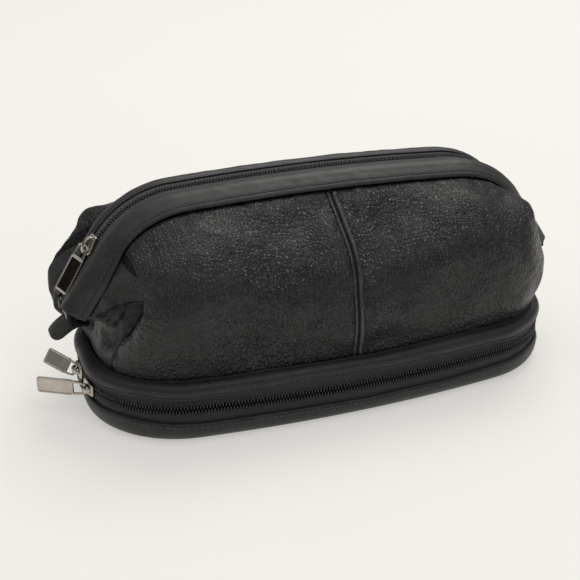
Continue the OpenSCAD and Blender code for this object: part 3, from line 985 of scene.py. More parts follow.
@dataclass
class ZipTrayBase:
    """The zip-round tray, the padded band above it and the zip between them."""

    outline: BaseOutline
    finishes: Finishes
    rows: RowMaker
    tray_height: float = 12.7
    gap: float = 12.4
    band_height: float = 7.9
    tuck: float = 9.0
    leather: float = 2.2
    zip_start: float = 106.0

    @property
    def band_low(self) -> float:
        """Height of the upper band's lower edge."""
        return self.tray_height + self.gap

    @property
    def zip_height(self) -> float:
        """Height of the zip's middle."""
        return self.tray_height + self.gap / 2

    @property
    def loop_length(self) -> float:
        """Length of the whole outline."""
        return 4 * self.outline.quarter

    def zip_runs(self, count: int) -> np.ndarray:
        """Places along the zip, which stops short of the back at each side."""
        back = 2 * self.outline.quarter
        reach = self.zip_start
        return np.linspace(back + reach, back + self.loop_length - reach, count)

    def tray_sag(self, points: Grid) -> Grid:
        """Let the tray's upper edge wave a little between its stiff corners."""
        edge = smooth_step((points[..., 2] - 3) / (self.tray_height - 3))
        middle = np.exp(-((points[..., 0] / 88) ** 4))
        front = np.where(points[..., 1] < 0, 1.0, 0.4)
        lower = 2.6 * middle * front + 0.5 * waves(points * [1, 1, 0], 46, 5)
        points = points.copy()
        points[..., 2] -= edge * np.maximum(lower, -0.4)
        return points

    def tray_leather(self) -> bpy.types.Object:
        """The tray's band, which tucks under at the floor."""
        t, h = self.tuck, self.tray_height
        corners = [
            (t + 1, 0.25), (t * 0.8, 0.2), (t * 0.55, 0.75), (t * 0.3, 2.3), (t * 0.13, 4.6), (0.45, h * 0.55),
            (0.1, h * 0.78), (0.25, h - 1.0), (0.75, h - 0.15), (1.4, h), (2.0, h - 0.3), (2.15, h - 1.2),
            (2.2, h * 0.62), (3.6, h * 0.4), (6.0, 3.0), (t, 2.2), (t + 1, 2.1),
        ]
        profile = spline(np.array(corners), 3, closed=True)
        points = self.outline.band(self.outline.loop(400), profile)
        points = self.tray_sag(points)
        points[..., 2] = np.maximum(points[..., 2], 0.0)
        piece = grid_object("tray_leather", points, closed_rows=True, closed_columns=True)
        dress(piece, self.finishes.band)
        return finish_piece(piece, "smooth_leather", "tray", ["tray_band"])

    def bottom_leather(self) -> bpy.types.Object:
        """The flat leather under the tray, softly quilted by its board."""
        insets = np.array([9.0, 9.6, 11, 14, 20, 30, 42, 54])
        runs = self.outline.loop(240)
        rows = []
        for i, inset in enumerate(insets):
            flat = self.outline.at(runs, min(inset, 50.0))
            if inset > 50:
                flat = flat * 0.55
            low = 0.9 - 0.75 * math.sin(min(1.0, i / 3) * math.pi / 2)
            rows.append(np.column_stack([flat, np.full(len(runs), low)]))
        ring = np.stack(rows, axis=1)
        ring[..., 2] += 0.12 * np.abs(waves(ring, 24, 9))
        centre = np.zeros((len(runs), 1, 3))
        centre[..., 2] = 0.15
        up = ring[:, ::-1].copy()
        up[..., 2] = 2.2
        lid = np.zeros((len(runs), 1, 3))
        lid[..., 2] = 2.2
        whole = np.concatenate([lid, up, ring, centre], axis=1)
        piece = grid_object("bottom_leather", whole[:, ::-1], closed_rows=True)
        outward(piece.data)
        dress(piece, self.finishes.band)
        return finish_piece(piece, "smooth_leather", "tray", ["bottom_panel"])

    def basin(self, name: str, profile: Sequence[tuple[float, float]], seed: int) -> bpy.types.Object:
        """A lined basin: its wall follows the outline and its floor closes in the middle.

        Args:
            name: Name of the piece.
            profile: Inset and height from the wall's top to the floor's edge.
            seed: Fixes the cloth's small swells.

        Returns:
            The lining.
        """
        line = spline(np.array(profile), 4)
        floor = line[-1]
        steps = [np.array([inset, floor[1]]) for inset in np.linspace(floor[0] + 4, 50, 8)]
        profile_all = np.vstack([line, steps])
        runs = self.outline.loop(280)
        points = self.outline.band(runs, profile_all)
        inner = points[:, -1:].copy()
        shrink = np.concatenate([inner * [s, s, 1] for s in (0.6, 0.25, 0.0)], axis=1)
        points = np.concatenate([points, shrink], axis=1)
        swell = waves(points, 21, seed)
        points[..., 2] += 0.18 * np.maximum(swell, -0.5)
        piece = grid_object(name, points, closed_rows=True)
        return thicken(dress(piece, self.finishes.lining), 0.45)

    def upper_band(self) -> bpy.types.Object:
        """The padded band above the zip, with a welt at its foot and a lip at its top."""
        low, h = self.band_low, self.band_height
        corners = [
            (2.3, low + 0.1), (1.3, low - 0.1), (0.55, low + 0.35), (0.45, low + 1.0), (0.75, low + 1.4),
            (0.35, low + 1.9), (0.0, low + 3.0), (0.15, low + 4.6), (0.9, low + 6.1), (2.3, low + 7.2),
            (4.0, low + h - 0.15), (5.0, low + h), (5.35, low + h - 0.3), (5.6, low + h - 0.45), (5.95, low + h - 0.1),
            (6.5, low + h - 0.25), (6.75, low + h - 0.8), (6.5, low + h - 1.5), (5.2, low + h - 2.0),
            (3.2, low + h - 3.0), (2.3, low + 3.3),
        ]
        profile = spline(np.array(corners), 3, closed=True)
        points = self.outline.band(self.outline.loop(420), profile)
        soft = waves(points, 30, 21)[..., None]
        middle = points.mean(axis=1, keepdims=True)
        points = points + 0.22 * soft * (points - middle) / 3
        points[..., 2] += 0.25 * waves(points * [1, 1, 0], 70, 22)
        piece = grid_object("upper_band", points, closed_rows=True, closed_columns=True)
        dress(piece, self.finishes.band)
        return finish_piece(piece, "smooth_leather", "main_bag", ["ring_band"])

    def tape(self, upper: bool) -> bpy.types.Object:
        """One side's zip tape, a thin woven strip with its edge under the leather."""
        zip_z = self.zip_height
        if upper:
            levels = np.linspace(zip_z + 2.2, self.band_low + 3.0, 9)
        else:
            levels = np.linspace(self.tray_height - 3.2, zip_z - 2.2, 9)
        runs = self.zip_runs(320)
        inset = 2.35 + 0.35 * np.sin(np.linspace(0, math.pi, 9))
        flat = self.outline.at(runs[:, None], inset[None])
        height = np.broadcast_to(levels[None, :, None], (*flat.shape[:2], 1))
        points = np.concatenate([flat, height], axis=-1)
        points = self.chain_wave(points)
        name = "band_zip_tape" if upper else "tray_tape"
        piece = thicken(grid_object(name, points), 0.5, 0.0)
        dress(piece, self.finishes.tape)
        body, node = ("main_bag", "ring_zip_tape") if upper else ("tray", "tray_zip_tape")
        return finish_piece(piece, "zip_tape", body, [node])

    def chain_wave(self, points: Grid) -> Grid:
        """Let the zip hang a little low at the front's middle, as a worn chain does."""
        points = points.copy()
        sag = 1.1 * np.exp(-((points[..., 0] / 80) ** 4)) * np.where(points[..., 1] < 0, 1.0, 0.0)
        points[..., 2] -= sag
        return points

    def coil(self, upper: bool) -> bpy.types.Object:
        """One side's nylon coil with the two lines of thread that hold it."""
        side = 1 if upper else -1
        runs = self.zip_runs(900)
        if upper:
            runs = runs + COIL_PITCH / 2

        def line(offset: float, inset: float) -> np.ndarray:
            """Line along the zip at a height and inset."""
            flat = self.outline.at(runs, inset)
            z = np.full(len(runs), self.zip_height + side * offset)
            return self.chain_wave(np.column_stack([flat, z]))

        turns = Row(pitch=COIL_PITCH, normal=1.5, square=2.9, along=0.85)
        sewn = Row(pitch=COIL_PITCH * 1.6, normal=0.5, square=0.45, along=1.7)
        rows = [(line(1.35, 1.9), turns), (line(2.55, 1.2), sewn), (line(3.6, 1.75), sewn)]
        name = "band_coil" if upper else "tray_coil"
        piece = self.rows.make(name, rows, self.finishes.coil)
        body, node = ("main_bag", "ring_zip_teeth") if upper else ("tray", "tray_zip_teeth")
        return finish_piece(piece, "zip_teeth", body, [node])

    def stitches(self) -> list[bpy.types.Object]:
        """Stitch lines on the upper band's welt and the tray's edge."""
        runs = self.outline.loop(700)
        runs = np.append(runs, runs[0] + self.loop_length)
        made = []
        low = self.band_low
        flat = self.outline.at(runs, 0.3)
        upper = np.column_stack([flat, np.full(len(runs), low + 2.1)])
        upper[:, 2] += 0.25 * waves(upper * [1, 1, 0], 70, 22)
        piece = self.rows.make("band_stitches", [(upper, STITCH)], self.finishes.thread)
        made.append(finish_piece(piece, "smooth_leather", "main_bag"))
        flat = self.outline.at(runs, 0.12)
        lower = self.tray_sag(np.column_stack([flat, np.full(len(runs), self.tray_height - 2.0)]))
        piece = self.rows.make("tray_stitches", [(lower, STITCH)], self.finishes.thread)
        made.append(finish_piece(piece, "smooth_leather", "tray"))
        return made

    def hinge(self) -> bpy.types.Object:
        """The leather strip that joins tray and bag along the back."""
        back = 2 * self.outline.quarter
        runs = np.linspace(back - 112, back + 112, 180)
        profile = spline(
            np.array([(3.2, 9.6), (2.9, 11.5), (2.2, 14.2), (1.7, 16.8), (2.3, 18.9), (1.7, 21.0), (2.2, 23.6),
                      (2.9, 26.3), (3.2, 28.0)]),
            5,
        )
        points = self.outline.band(runs, profile)
        points += 0.15 * waves(points, 14, 31)[..., None] * grid_normals(points)
        piece = thicken(grid_object("hinge_leather", points, flip=True), 1.1)
        dress(piece, self.finishes.band)
        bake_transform(piece, "tray", "main_bag", start=(0, 0.0645, 0.0125), end=(0, 0.0645, 0.0253))
        return finish_piece(piece, "smooth_leather", None, ["hinge_strip"])

    def build(self) -> None:
        """Make every piece of the base."""
        self.tray_leather()
        self.bottom_leather()
        h = self.tray_height
        pan = self.basin("tray_cloth", [(2.7, h - 0.8), (3.0, 9.5), (4.2, 6.6), (6.6, 5.1), (11.0, 4.75)], 41)
        finish_piece(pan, "lining", "tray", ["tray_lining"])
        for upper in (True, False):
            self.tape(upper)
            self.coil(upper)
        self.upper_band()
        self.stitches()
        self.hinge()
        self.floor_cloth()

    def floor_cloth(self) -> None:
        """Cloth over and under the stiff floor board."""
        low = self.band_low
        top = self.basin("floor_cloth", [(9.9, low + 3.4), (10.4, low + 2.9), (12.0, low + 2.75)], 43)
        finish_piece(top, "lining", "main_bag", ["floor_lining"])
        under = self.basin("tray_ceiling_cloth", [(3.2, low + 0.2), (5.0, low + 0.05), (9.0, low - 0.05)], 44)
        under.modifiers["Thickness"].offset = 1.0
        finish_piece(under, "lining", "main_bag")


# ---- frames: binding, tape and coil ----


@dataclass
class FrameHalf:
    """One hinged frame: a folded leather binding with its tape and coil."""

    arch: ZipArch
    finishes: Finishes
    rows: RowMaker
    back: bool
    end_short: float = 2.4
    flare_drop: float = 4.4

    @property
    def word(self) -> str:
        """Prefix of this frame's pieces."""
        return "back" if self.back else "front"

    @property
    def body(self) -> str:
        """Body that carries this frame's pieces."""
        return f"{self.word}_frame"

    def flare(self, run: np.ndarray) -> np.ndarray:
        """How far the cover's outer edge has opened, from the shoulder to the arm's end."""
        return smooth_step((np.abs(run) - 105) / 55)

    def pinch(self, run: np.ndarray) -> np.ndarray:
        """How far the two covers have closed in on each other near the pivot."""
        return smooth_step((np.abs(run) - 136) / 28)

    def place(self, run: np.ndarray, out: np.ndarray, drop: np.ndarray) -> Grid:
        """Points of the cover, flared and pinched near its ends."""
        share = np.clip((out - 7.6) / 15.5, 0, 1)
        drop = drop + self.flare_drop * self.flare(run) * share**3
        hump = 4 * share * (1 - share)
        out = out - 3.2 * self.pinch(run) * (1 - 0.75 * hump)
        run = run + np.sign(run) * 1.6 * self.pinch(run) ** 2 * hump
        points = self.arch.at(run, drop - 0.3 * self.pinch(run) * hump, out)
        if self.back:
            points = points * [1, -1, 1]
        return points

    def runs(self, count: int) -> np.ndarray:
        """Places along the cover, from its left end to its right end."""
        reach = self.arch.length - self.end_short
        return np.linspace(-reach, reach, count)

    def cover(self) -> bpy.types.Object:
        """The folded leather: rolled inner rim, broad face, stitched groove and outer lip."""
        corners = [
            (8.9, 1.0), (7.9, 1.05), (7.45, 0.6), (7.6, 0.1), (8.15, -0.1), (8.6, 0.1), (8.85, 0.3), (9.2, 0.05),
            (10.2, -0.4), (12.0, -0.65), (14.0, -0.35), (16.0, 0.45), (17.8, 1.6), (19.6, 2.75), (20.7, 3.6),
            (21.2, 4.4), (21.55, 4.25), (21.9, 4.15), (22.4, 4.45), (22.95, 5.05), (23.25, 5.75), (23.15, 6.4),
            (22.5, 6.6), (21.2, 5.9), (19.0, 4.5), (16.2, 2.4), (12.5, 1.75), (9.9, 1.5),
        ]
        profile = spline(np.array(corners), 3, closed=True)
        run = self.runs(340)[:, None]
        points = self.place(run, profile[None, :, 0], profile[None, :, 1])
        soft = waves(points, 17, 61 + self.back)[..., None] + 0.6 * waves(points, 6, 63)[..., None]
        middle = points.mean(axis=1, keepdims=True)
        points = points + 0.11 * soft * (points - middle) / np.maximum(
            np.linalg.norm(points - middle, axis=-1, keepdims=True), 1
        )
        piece = grid_object(f"{self.word}_cover", points, closed_columns=True, caps=True)
        dress(piece, self.finishes.smooth)
        return finish_piece(piece, "smooth_leather", self.body, [f"{self.word}_binding"])

    def tape(self) -> bpy.types.Object:
        """The woven tape between coil and cover."""
        reach = self.arch.length - 7
        run = np.linspace(-reach, reach, 260)[:, None]
        out = np.linspace(2.2, 9.6, 10)[None]
        drop = 1.15 + 0.25 * np.sin(np.linspace(0, math.pi, 10))[None]
        points = self.arch.at(run, drop, out - 3.0 * self.pinch(run) * (out > 3))
        if self.back:
            points = points * [1, -1, 1]
        piece = thicken(grid_object(f"{self.word}_tape", points), 0.5, 0.0)
        dress(piece, self.finishes.tape)
        return finish_piece(piece, "zip_tape", self.body, [f"{self.word}_top_tape"])

    def coil(self) -> bpy.types.Object:
        """The nylon coil with its sewing lines; it starts above the slider's post."""
        start, end = -(self.arch.bend - 1.0), self.arch.length - 7
        run = np.linspace(start, end, 900) + (COIL_PITCH / 2 if self.back else 0)
        side = -1.0 if self.back else 1.0
        turns = Row(pitch=COIL_PITCH, normal=2.7, square=1.5, along=0.85)
        sewn = Row(pitch=COIL_PITCH * 1.6, normal=0.45, square=0.5, along=1.7)

        def line(out: float, drop: float) -> np.ndarray:
            """Line along the zip."""
            return self.arch.at(run, drop, side * out)

        rows = [(line(1.25, 0.75), turns), (line(2.75, 0.35), sewn)]
        piece = self.rows.make(f"{self.word}_coil", rows, self.finishes.coil)
        return finish_piece(piece, "zip_teeth", self.body, [f"{self.word}_top_teeth"])

    def stitches(self) -> bpy.types.Object:
        """Stitch line in the cover's outer groove."""
        run = self.runs(700)
        line = self.place(run, np.full(len(run), 21.0), np.full(len(run), 3.85))
        piece = self.rows.make(f"{self.word}_cover_stitches", [(line, STITCH)], self.finishes.thread)
        return finish_piece(piece, "smooth_leather", self.body)

    def build(self) -> None:
        """Make every piece of this frame."""
        self.cover()
        self.tape()
        self.coil()
        self.stitches()
        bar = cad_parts[f"{self.word}_frame_bar"]
        dress(bar, self.finishes.steel)


# ---- body leather ----


@dataclass(frozen=True)
class Fold:
    """A crease or ridge pressed into the leather along a line.

    A positive depth is a hollow and a negative depth is a ridge.
    """

    line: tuple[tuple[float, float, float], ...]
    width: float
    depth: float


Column = tuple[float, float, list[tuple[float, float, float]]]
FULLNESS = {Side.FRONT_LEFT: 0.0, Side.FRONT_RIGHT: 0.9, Side.BACK_LEFT: 1.7, Side.BACK_RIGHT: 0.85}


@dataclass
class LeatherBody:
    """Soft leather between the upper band and the frames, gathered into a pocket at each end."""

    outline: BaseOutline
    arch: ZipArch
    finishes: Finishes
    rows: RowMaker
    frame_half: FrameHalf
    foot_height: float = 29.5
    foot_inset: float = 7.0
    head_out: float = 21.9
    head_drop: float = 6.4
    gather_start: float = 98.0
    gather_run: float = 12.0
    lining_gap: float = 5.2
    lining_ease: float = 3.4

    def foot(self, run: float) -> tuple[float, float, float]:
        """Point of the leather's lower edge, inside the upper band."""
        x, y = self.outline.at(run, self.foot_inset)
        return float(x), float(y), self.foot_height

    def head(self, run: float) -> tuple[float, float, float]:
        """Point of the leather's upper edge, under the cover's lip."""
        x, y, z = self.frame_half.place(np.array(-run), np.array(self.head_out), np.array(self.head_drop))
        return float(x), float(y), float(z)

    def net(self, fullness: float = 0.0) -> np.ndarray:
        """Control points of the front left leather, in columns from the centre seam to the end.

        Args:
            fullness: 0 for an end folded into its pocket, 1 for one that is pushed out.

        Returns:
            Grid of control points.
        """
        columns = [
            (0, 0, [(0, -60.6, 38), (0, -62.4, 50), (0, -62.2, 62), (0, -58.6, 76), (0, -49.0, 89), (0, -36.5, 100)]),
            (30, 30, [(-30, -60.6, 38), (-30, -62.8, 50), (-30, -62.6, 63), (-30, -59.2, 78), (-30, -49.6, 91),
                      (-30, -37, 101.5)]),
            (58, 58, [(-58, -59.5, 38), (-58, -62.6, 50), (-58, -63.2, 64), (-58, -60.2, 79), (-58, -51, 92),
                      (-58, -38, 102)]),
            (82, 77, [(-80, -57.2, 38), (-81, -61, 50), (-82, -62.4, 64), (-81, -59.6, 79), (-79, -51, 92),
                      (-77.5, -38, 102)]),
            (100, 92, [(-98.5, -53.5, 38), (-99.5, -57.4, 50), (-99.5, -58.8, 63), (-97, -56.5, 78), (-95, -49, 90.5),
                       (-93, -37, 99.5)]),
        ]
        return self._ended(columns, self._folded_end() if fullness == 0 else self._eased_end(fullness))

    @staticmethod
    def _folded_end() -> list[Column]:
        """Columns of an end whose leather folds into a deep pocket behind its elbow."""
        return [
            (117, 104, [(-111, -45.8, 38), (-111.5, -49.3, 49), (-108.5, -51.8, 61), (-105.5, -51.3, 74),
                        (-104, -46, 86), (-103, -36, 95)]),
            (131, 114, [(-119, -36, 38), (-117.5, -38.5, 47), (-111.5, -43, 58), (-107, -45, 69), (-106.5, -43, 80),
                        (-108, -34, 90)]),
            (138, 123, [(-120.5, -30, 38), (-116.5, -31, 46), (-108, -33, 57), (-101, -33, 67), (-101, -31.5, 77),
                        (-108, -28, 86)]),
            (147, 135, [(-121.5, -23, 38), (-117, -24, 45), (-112, -26, 54), (-108, -25.5, 63.5), (-110.5, -24.8, 71),
                        (-116.5, -23.8, 77)]),
            (151, 148, [(-122.5, -18, 38), (-119, -19, 44.5), (-116, -21.5, 51), (-116.5, -23.5, 58),
                        (-119.5, -23.5, 63), (-123.5, -23, 66.5)]),
            (156.5, 160.5, [(-124, -14, 38), (-120.5, -15.5, 44), (-118, -17.5, 50), (-120, -20.5, 55),
                            (-124, -21.5, 57), (-128, -21, 58)]),
        ]

    def _eased_end(self, fullness: float) -> list[Column]:
        """Columns of an end that the contents have pushed out.

        Args:
            fullness: 0 keeps the deep pocket and 1 fills it.

        Returns:
            Columns between the two.
        """
        full = [
            [(-112, -46, 38), (-114, -50, 49), (-113, -52, 61), (-110, -51.5, 74), (-108, -47, 87), (-105, -37, 96)],
            [(-120, -37.5, 38), (-122, -41, 48), (-121.5, -43.5, 59), (-118.5, -44, 71), (-115.5, -41.5, 83),
             (-113.5, -36, 93)],
            [(-123, -31.5, 38), (-125.5, -34.5, 47), (-125.5, -36, 57), (-122.5, -36, 67), (-119, -33.5, 76),
             (-115, -28.5, 85)],
            [(-125, -25, 38), (-127.8, -27.5, 46), (-128.5, -29, 54), (-126.5, -29.5, 62), (-123.5, -28, 70),
             (-120.5, -25.5, 76)],
            [(-125.8, -20, 38), (-128.6, -22, 45), (-130, -23.5, 51), (-129.5, -25, 57.5), (-128, -25, 63),
             (-126.5, -24, 66.5)],
            [(-126, -14, 38), (-128.5, -15.5, 44), (-130, -17.5, 49), (-130.5, -19.5, 53), (-130.5, -20.5, 55),
             (-130.5, -20.8, 56.5)],
        ]
        made = []
        for (foot, head, folded), eased in zip(self._folded_end(), full):
            a, b = np.array(folded, float), np.array(eased, float)
            made.append((foot, head, [tuple(p) for p in a + fullness * (b - a)]))
        return made

    def _ended(self, columns: list[Column], end: list[Column]) -> np.ndarray:
        """Close the columns with the end's middle and add their feet and heads."""
        net = [[self.foot(a), *middle, self.head(b)] for a, b, middle in columns + end]
        net.append(
            [self.foot(165), (-124.6, -7, 38), (-122.5, -8, 44), (-121.5, -9, 50), (-124, -10, 54), (-128.5, -10.5, 56),
             (-131, -10.5, 57), (-132.5, -10.5, 58)]
        )
        net.append(
            [self.foot(171.8), (-125, -0.3, 38), (-123.5, -0.3, 44), (-123, -0.3, 50), (-125, -0.3, 54),
             (-129, -0.3, 56), (-132, -0.3, 57), (-134, -0.3, 58.5)]
        )
        return np.array(net, float)

    def folds(self) -> tuple[Fold, ...]:
        """Creases that the leather keeps from being opened and shut."""
        return (
            Fold(((-22, -34, 99), (-21.5, -48, 88), (-22, -59.5, 72), (-23, -63, 60)), 5.5, 2.3),
            Fold(((-14.5, -32, 101), (-8.5, -41, 94.5), (-7.2, -51.5, 84), (-7.5, -60, 70)), 3.6, -1.0),
            Fold(((-37.5, -30, 102), (-33.8, -42, 94), (-31, -49, 87.5), (-31, -57, 77)), 4.2, -1.1),
            Fold(((-36, -40, 100), (-46, -56, 84), (-52, -63, 66), (-54, -63, 50)), 12.0, 1.6),
            Fold(((-70, -35, 103), (-80, -52, 91), (-84, -61, 72)), 10.0, -1.2),
            Fold(((-100, -33, 99), (-96, -52, 84), (-99, -58, 66), (-107, -50, 50)), 4.0, 0.5),
            Fold(((-128.4, -21, 56.5), (-120, -24, 60.9), (-109.5, -26, 64.6), (-101, -30, 66)), 1.4, 2.4),
            Fold(((-121, -26, 55), (-115, -29, 59), (-108, -33, 61)), 2.4, -1.5),
            Fold(((-106, -44, 56), (-112, -40, 50), (-118, -34, 42)), 2.6, 1.2),
            Fold(((-119, -30, 36), (-118, -31, 44), (-115, -32, 52)), 3.0, -1.4),
        )

    def surface(self, seed: int, fullness: float = 0.0) -> Grid:
        """Dense points of the front left leather's face.

        Args:
            seed: Fixes the small swells.
            fullness: How far the end is pushed out of its pocket.

        Returns:
            Grid of points, columns along the bag and rows upwards.
        """
        points = spline(spline(self.net(fullness), 13).transpose(1, 0, 2), 12).transpose(1, 0, 2)
        normal = -grid_normals(points)
        rows = np.linspace(0, 1, points.shape[1])[None]
        free = smooth_step((rows - 0.04) / 0.2) * smooth_step((1 - rows) / 0.12)
        # The broad waves fade towards the ends, where the leather is gathered.
        gathered = smooth_step((np.abs(points[..., 0]) - self.gather_start) / self.gather_run)
        shape = (1.3 - 1.1 * gathered) * waves(points, 52, seed)
        shape = shape + (1 - 0.6 * gathered) * 0.55 * waves(points, 21, seed + 1) + 0.16 * waves(points, 7, seed + 2)
        for fold in self.folds()[: 6 if fullness else None]:
            gap = near_line(points, spline(np.array(fold.line, float), 6))
            shape = shape - fold.depth * np.exp(-((gap / fold.width) ** 2)) / np.maximum(free, 0.3) * (free > 0.02)
        points = points + normal * (shape * free)[..., None]
        near = np.exp(-((np.linalg.norm(points - [-117, -29, 58], axis=-1) / 8) ** 2))
        points = points + normal * (0.75 * near * waves(points, 4.5, seed + 4))[..., None]
        # The leather rolls under where the cover's seam draws it in, and puckers beside it.
        edge = np.linalg.norm(points - points[:, -1:], axis=-1)
        puckers = 0.25 * waves(points * [1, 0.2, 0.2], 8, seed + 3) * np.exp(-edge / 7)
        seam = 1.3 * np.exp(-((points[..., 0] / 2.6) ** 2)) * (rows > 0.05)
        tuck = -1.3 * np.exp(-((edge / 1.6) ** 2)) - seam
        return points + normal * (puckers * (edge > 0.1) + tuck)[..., None]

    def leather(self, side: Side, seed: int) -> None:
        """Make one quarter of the body: its broad panel and its gathered end."""
        word = side.name.lower()
        points = self.surface(seed, FULLNESS[side]) * side.signs
        split = 13 * 7 + 4
        front = side.value[1] > 0
        y = -1 if front else 1
        x = -1 if side.value[0] > 0 else 1
        frame_body = "front_frame" if front else "back_frame"
        node = "_".join([word.split("_")[0], "panel", word.split("_")[1]])
        panel = grid_object(f"{word}_leather", points[:split], flip=not side.turned)
        thicken(dress(panel, self.finishes.grained), 1.5)
        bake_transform(panel, "main_bag", frame_body, start=(0, y * 0.060, 0.036), end=(0, y * 0.025, 0.104))
        finish_piece(panel, "grain_leather", None, [node])
        end = grid_object(f"{word}_end_leather", points[split - 8 :], flip=not side.turned)
        # The end piece takes the lighter copy of the cowhide: painted light in the pocket's shade.
        thicken(dress(end, self.finishes.gathered), 1.5)
        start = np.array([x * 126.0, y * 14.0, 36.0]) * MM
        # Still on the band, wholly with the frame along the arm, and between the two in the pocket.
        way = np.array([x * 0.0414, y * 0.010, 0.0357])
        stop = start + way / (way @ way) * MM
        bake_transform(end, "main_bag", frame_body, start=tuple(start), end=tuple(stop))
        finish_piece(end, "grain_leather", None)

    def centre_seam(self, front: bool, points: Grid) -> None:
        """Raised folded ridge over the seam between the left and right leather."""
        line = points[0].copy()
        line[:, 0] = 0
        ahead = np.gradient(line, axis=0)
        ahead /= np.linalg.norm(ahead, axis=1, keepdims=True)
        lift = np.cross(ahead, [1.0, 0, 0])
        lift *= -np.sign(lift[len(lift) // 2, 1])
        profile = spline(
            np.array([(-2.9, -0.6), (-2.6, 0.9), (-2.2, 1.6), (-1.6, 1.7), (-1.1, 1.3), (-0.75, 0.6), (-0.4, 1.1),
                      (0.1, 2.3), (0.9, 2.7), (1.7, 2.4), (2.3, 1.3), (2.6, -0.4), (0.0, -1.4)]),
            3, closed=True,
        )
        keep = slice(6, len(line) - 2)
        ring = (
            line[keep, None]
            + profile[None, :, :1] * np.array([1.0, 0, 0])
            + profile[None, :, 1:] * lift[keep, None]
        )
        word = "front" if front else "back"
        y = -1 if front else 1
        if not front:
            ring = ring * [1, -1, 1]
        piece = grid_object(f"{word}_seam_leather", ring, closed_columns=True, caps=True)
        dress(piece, self.finishes.ridge)
        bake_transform(piece, "main_bag", f"{word}_frame", start=(0, y * 0.060, 0.036), end=(0, y * 0.025, 0.104))
        finish_piece(piece, "grain_leather", None, [f"{word}_centre_seam"])
        rows = [
            (line[keep] + lift[keep] * rise + np.array([out, 0, 0]), STITCH)
            for out, rise in ((-2.35, 1.45), (2.1, 1.6))
        ]
        if not front:
            rows = [(r * [1, -1, 1], s) for r, s in rows]
        thread = self.rows.make(f"{word}_seam_stitches", rows, self.finishes.thread)
        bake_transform(thread, "main_bag", f"{word}_frame", start=(0, y * 0.060, 0.036), end=(0, y * 0.025, 0.104))
        finish_piece(thread, "grain_leather", None)

    def lining(self, front: bool) -> None:
        """Cloth that lines one side from end to end, behind the leather."""
        half = spline(spline(self.net(), 5).transpose(1, 0, 2), 5).transpose(1, 0, 2)
        rise = np.linspace(0, 1, half.shape[1])[None, :, None]
        # The cloth hangs clear of the leather and comes back to it under the cover.
        gap = self.lining_gap - self.lining_ease * smooth_step((rise - 0.8) / 0.2)
        half = half + gap * grid_normals(half)
        right = half[::-1] * [-1, 1, 1]
        points = np.concatenate([right[:-1], half])
        rows = np.linspace(0, 1, points.shape[1])[None]
        free = smooth_step(rows / 0.1) * smooth_step((1 - rows) / 0.1)
        points = points + grid_normals(points) * (0.5 * waves(points, 18, 77 + front) * free)[..., None]
        word = "front" if front else "back"
        y = -1 if front else 1
        if not front:
            points = points * [1, -1, 1]
        piece = thicken(grid_object(f"{word}_cloth", points, flip=front), 0.45)
        dress(piece, self.finishes.lining)
        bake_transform(piece, "main_bag", f"{word}_frame", start=(0, y * 0.060, 0.036), end=(0, y * 0.025, 0.104))
        finish_piece(piece, "lining", None, [f"{word}_lining"])

    def build(self) -> None:
        """Make the leather, its seams and its lining."""
        for seed, side in enumerate(Side):
            self.leather(side, 101 + 10 * seed)
        for front in (True, False):
            self.centre_seam(front, self.surface(101 if front else 121))
            self.lining(front)


# ---- pivots, tabs, sliders and pulls ----


def rounded(corners: Sequence[tuple[float, float, float]], steps: int = 6) -> np.ndarray:
    """Closed outline with a round at each corner.

    Args:
        corners: X, Y and radius of each corner, counter-clockwise.
        steps: Points in each round.

    Returns:
        Points of the outline.
    """
    made = []
    n = len(corners)
    for i, (x, y, r) in enumerate(corners):
        here = np.array([x, y])
        back = np.array(corners[i - 1][:2]) - here
        ahead = np.array(corners[(i + 1) % n][:2]) - here
        back, ahead = back / np.linalg.norm(back), ahead / np.linalg.norm(ahead)
        t = np.linspace(0, 1, steps + 1)[:, None]
        a, b = here + back * r, here + ahead * r
        made.append((1 - t) ** 2 * a + 2 * t * (1 - t) * here + t**2 * b)
    return np.concatenate(made)


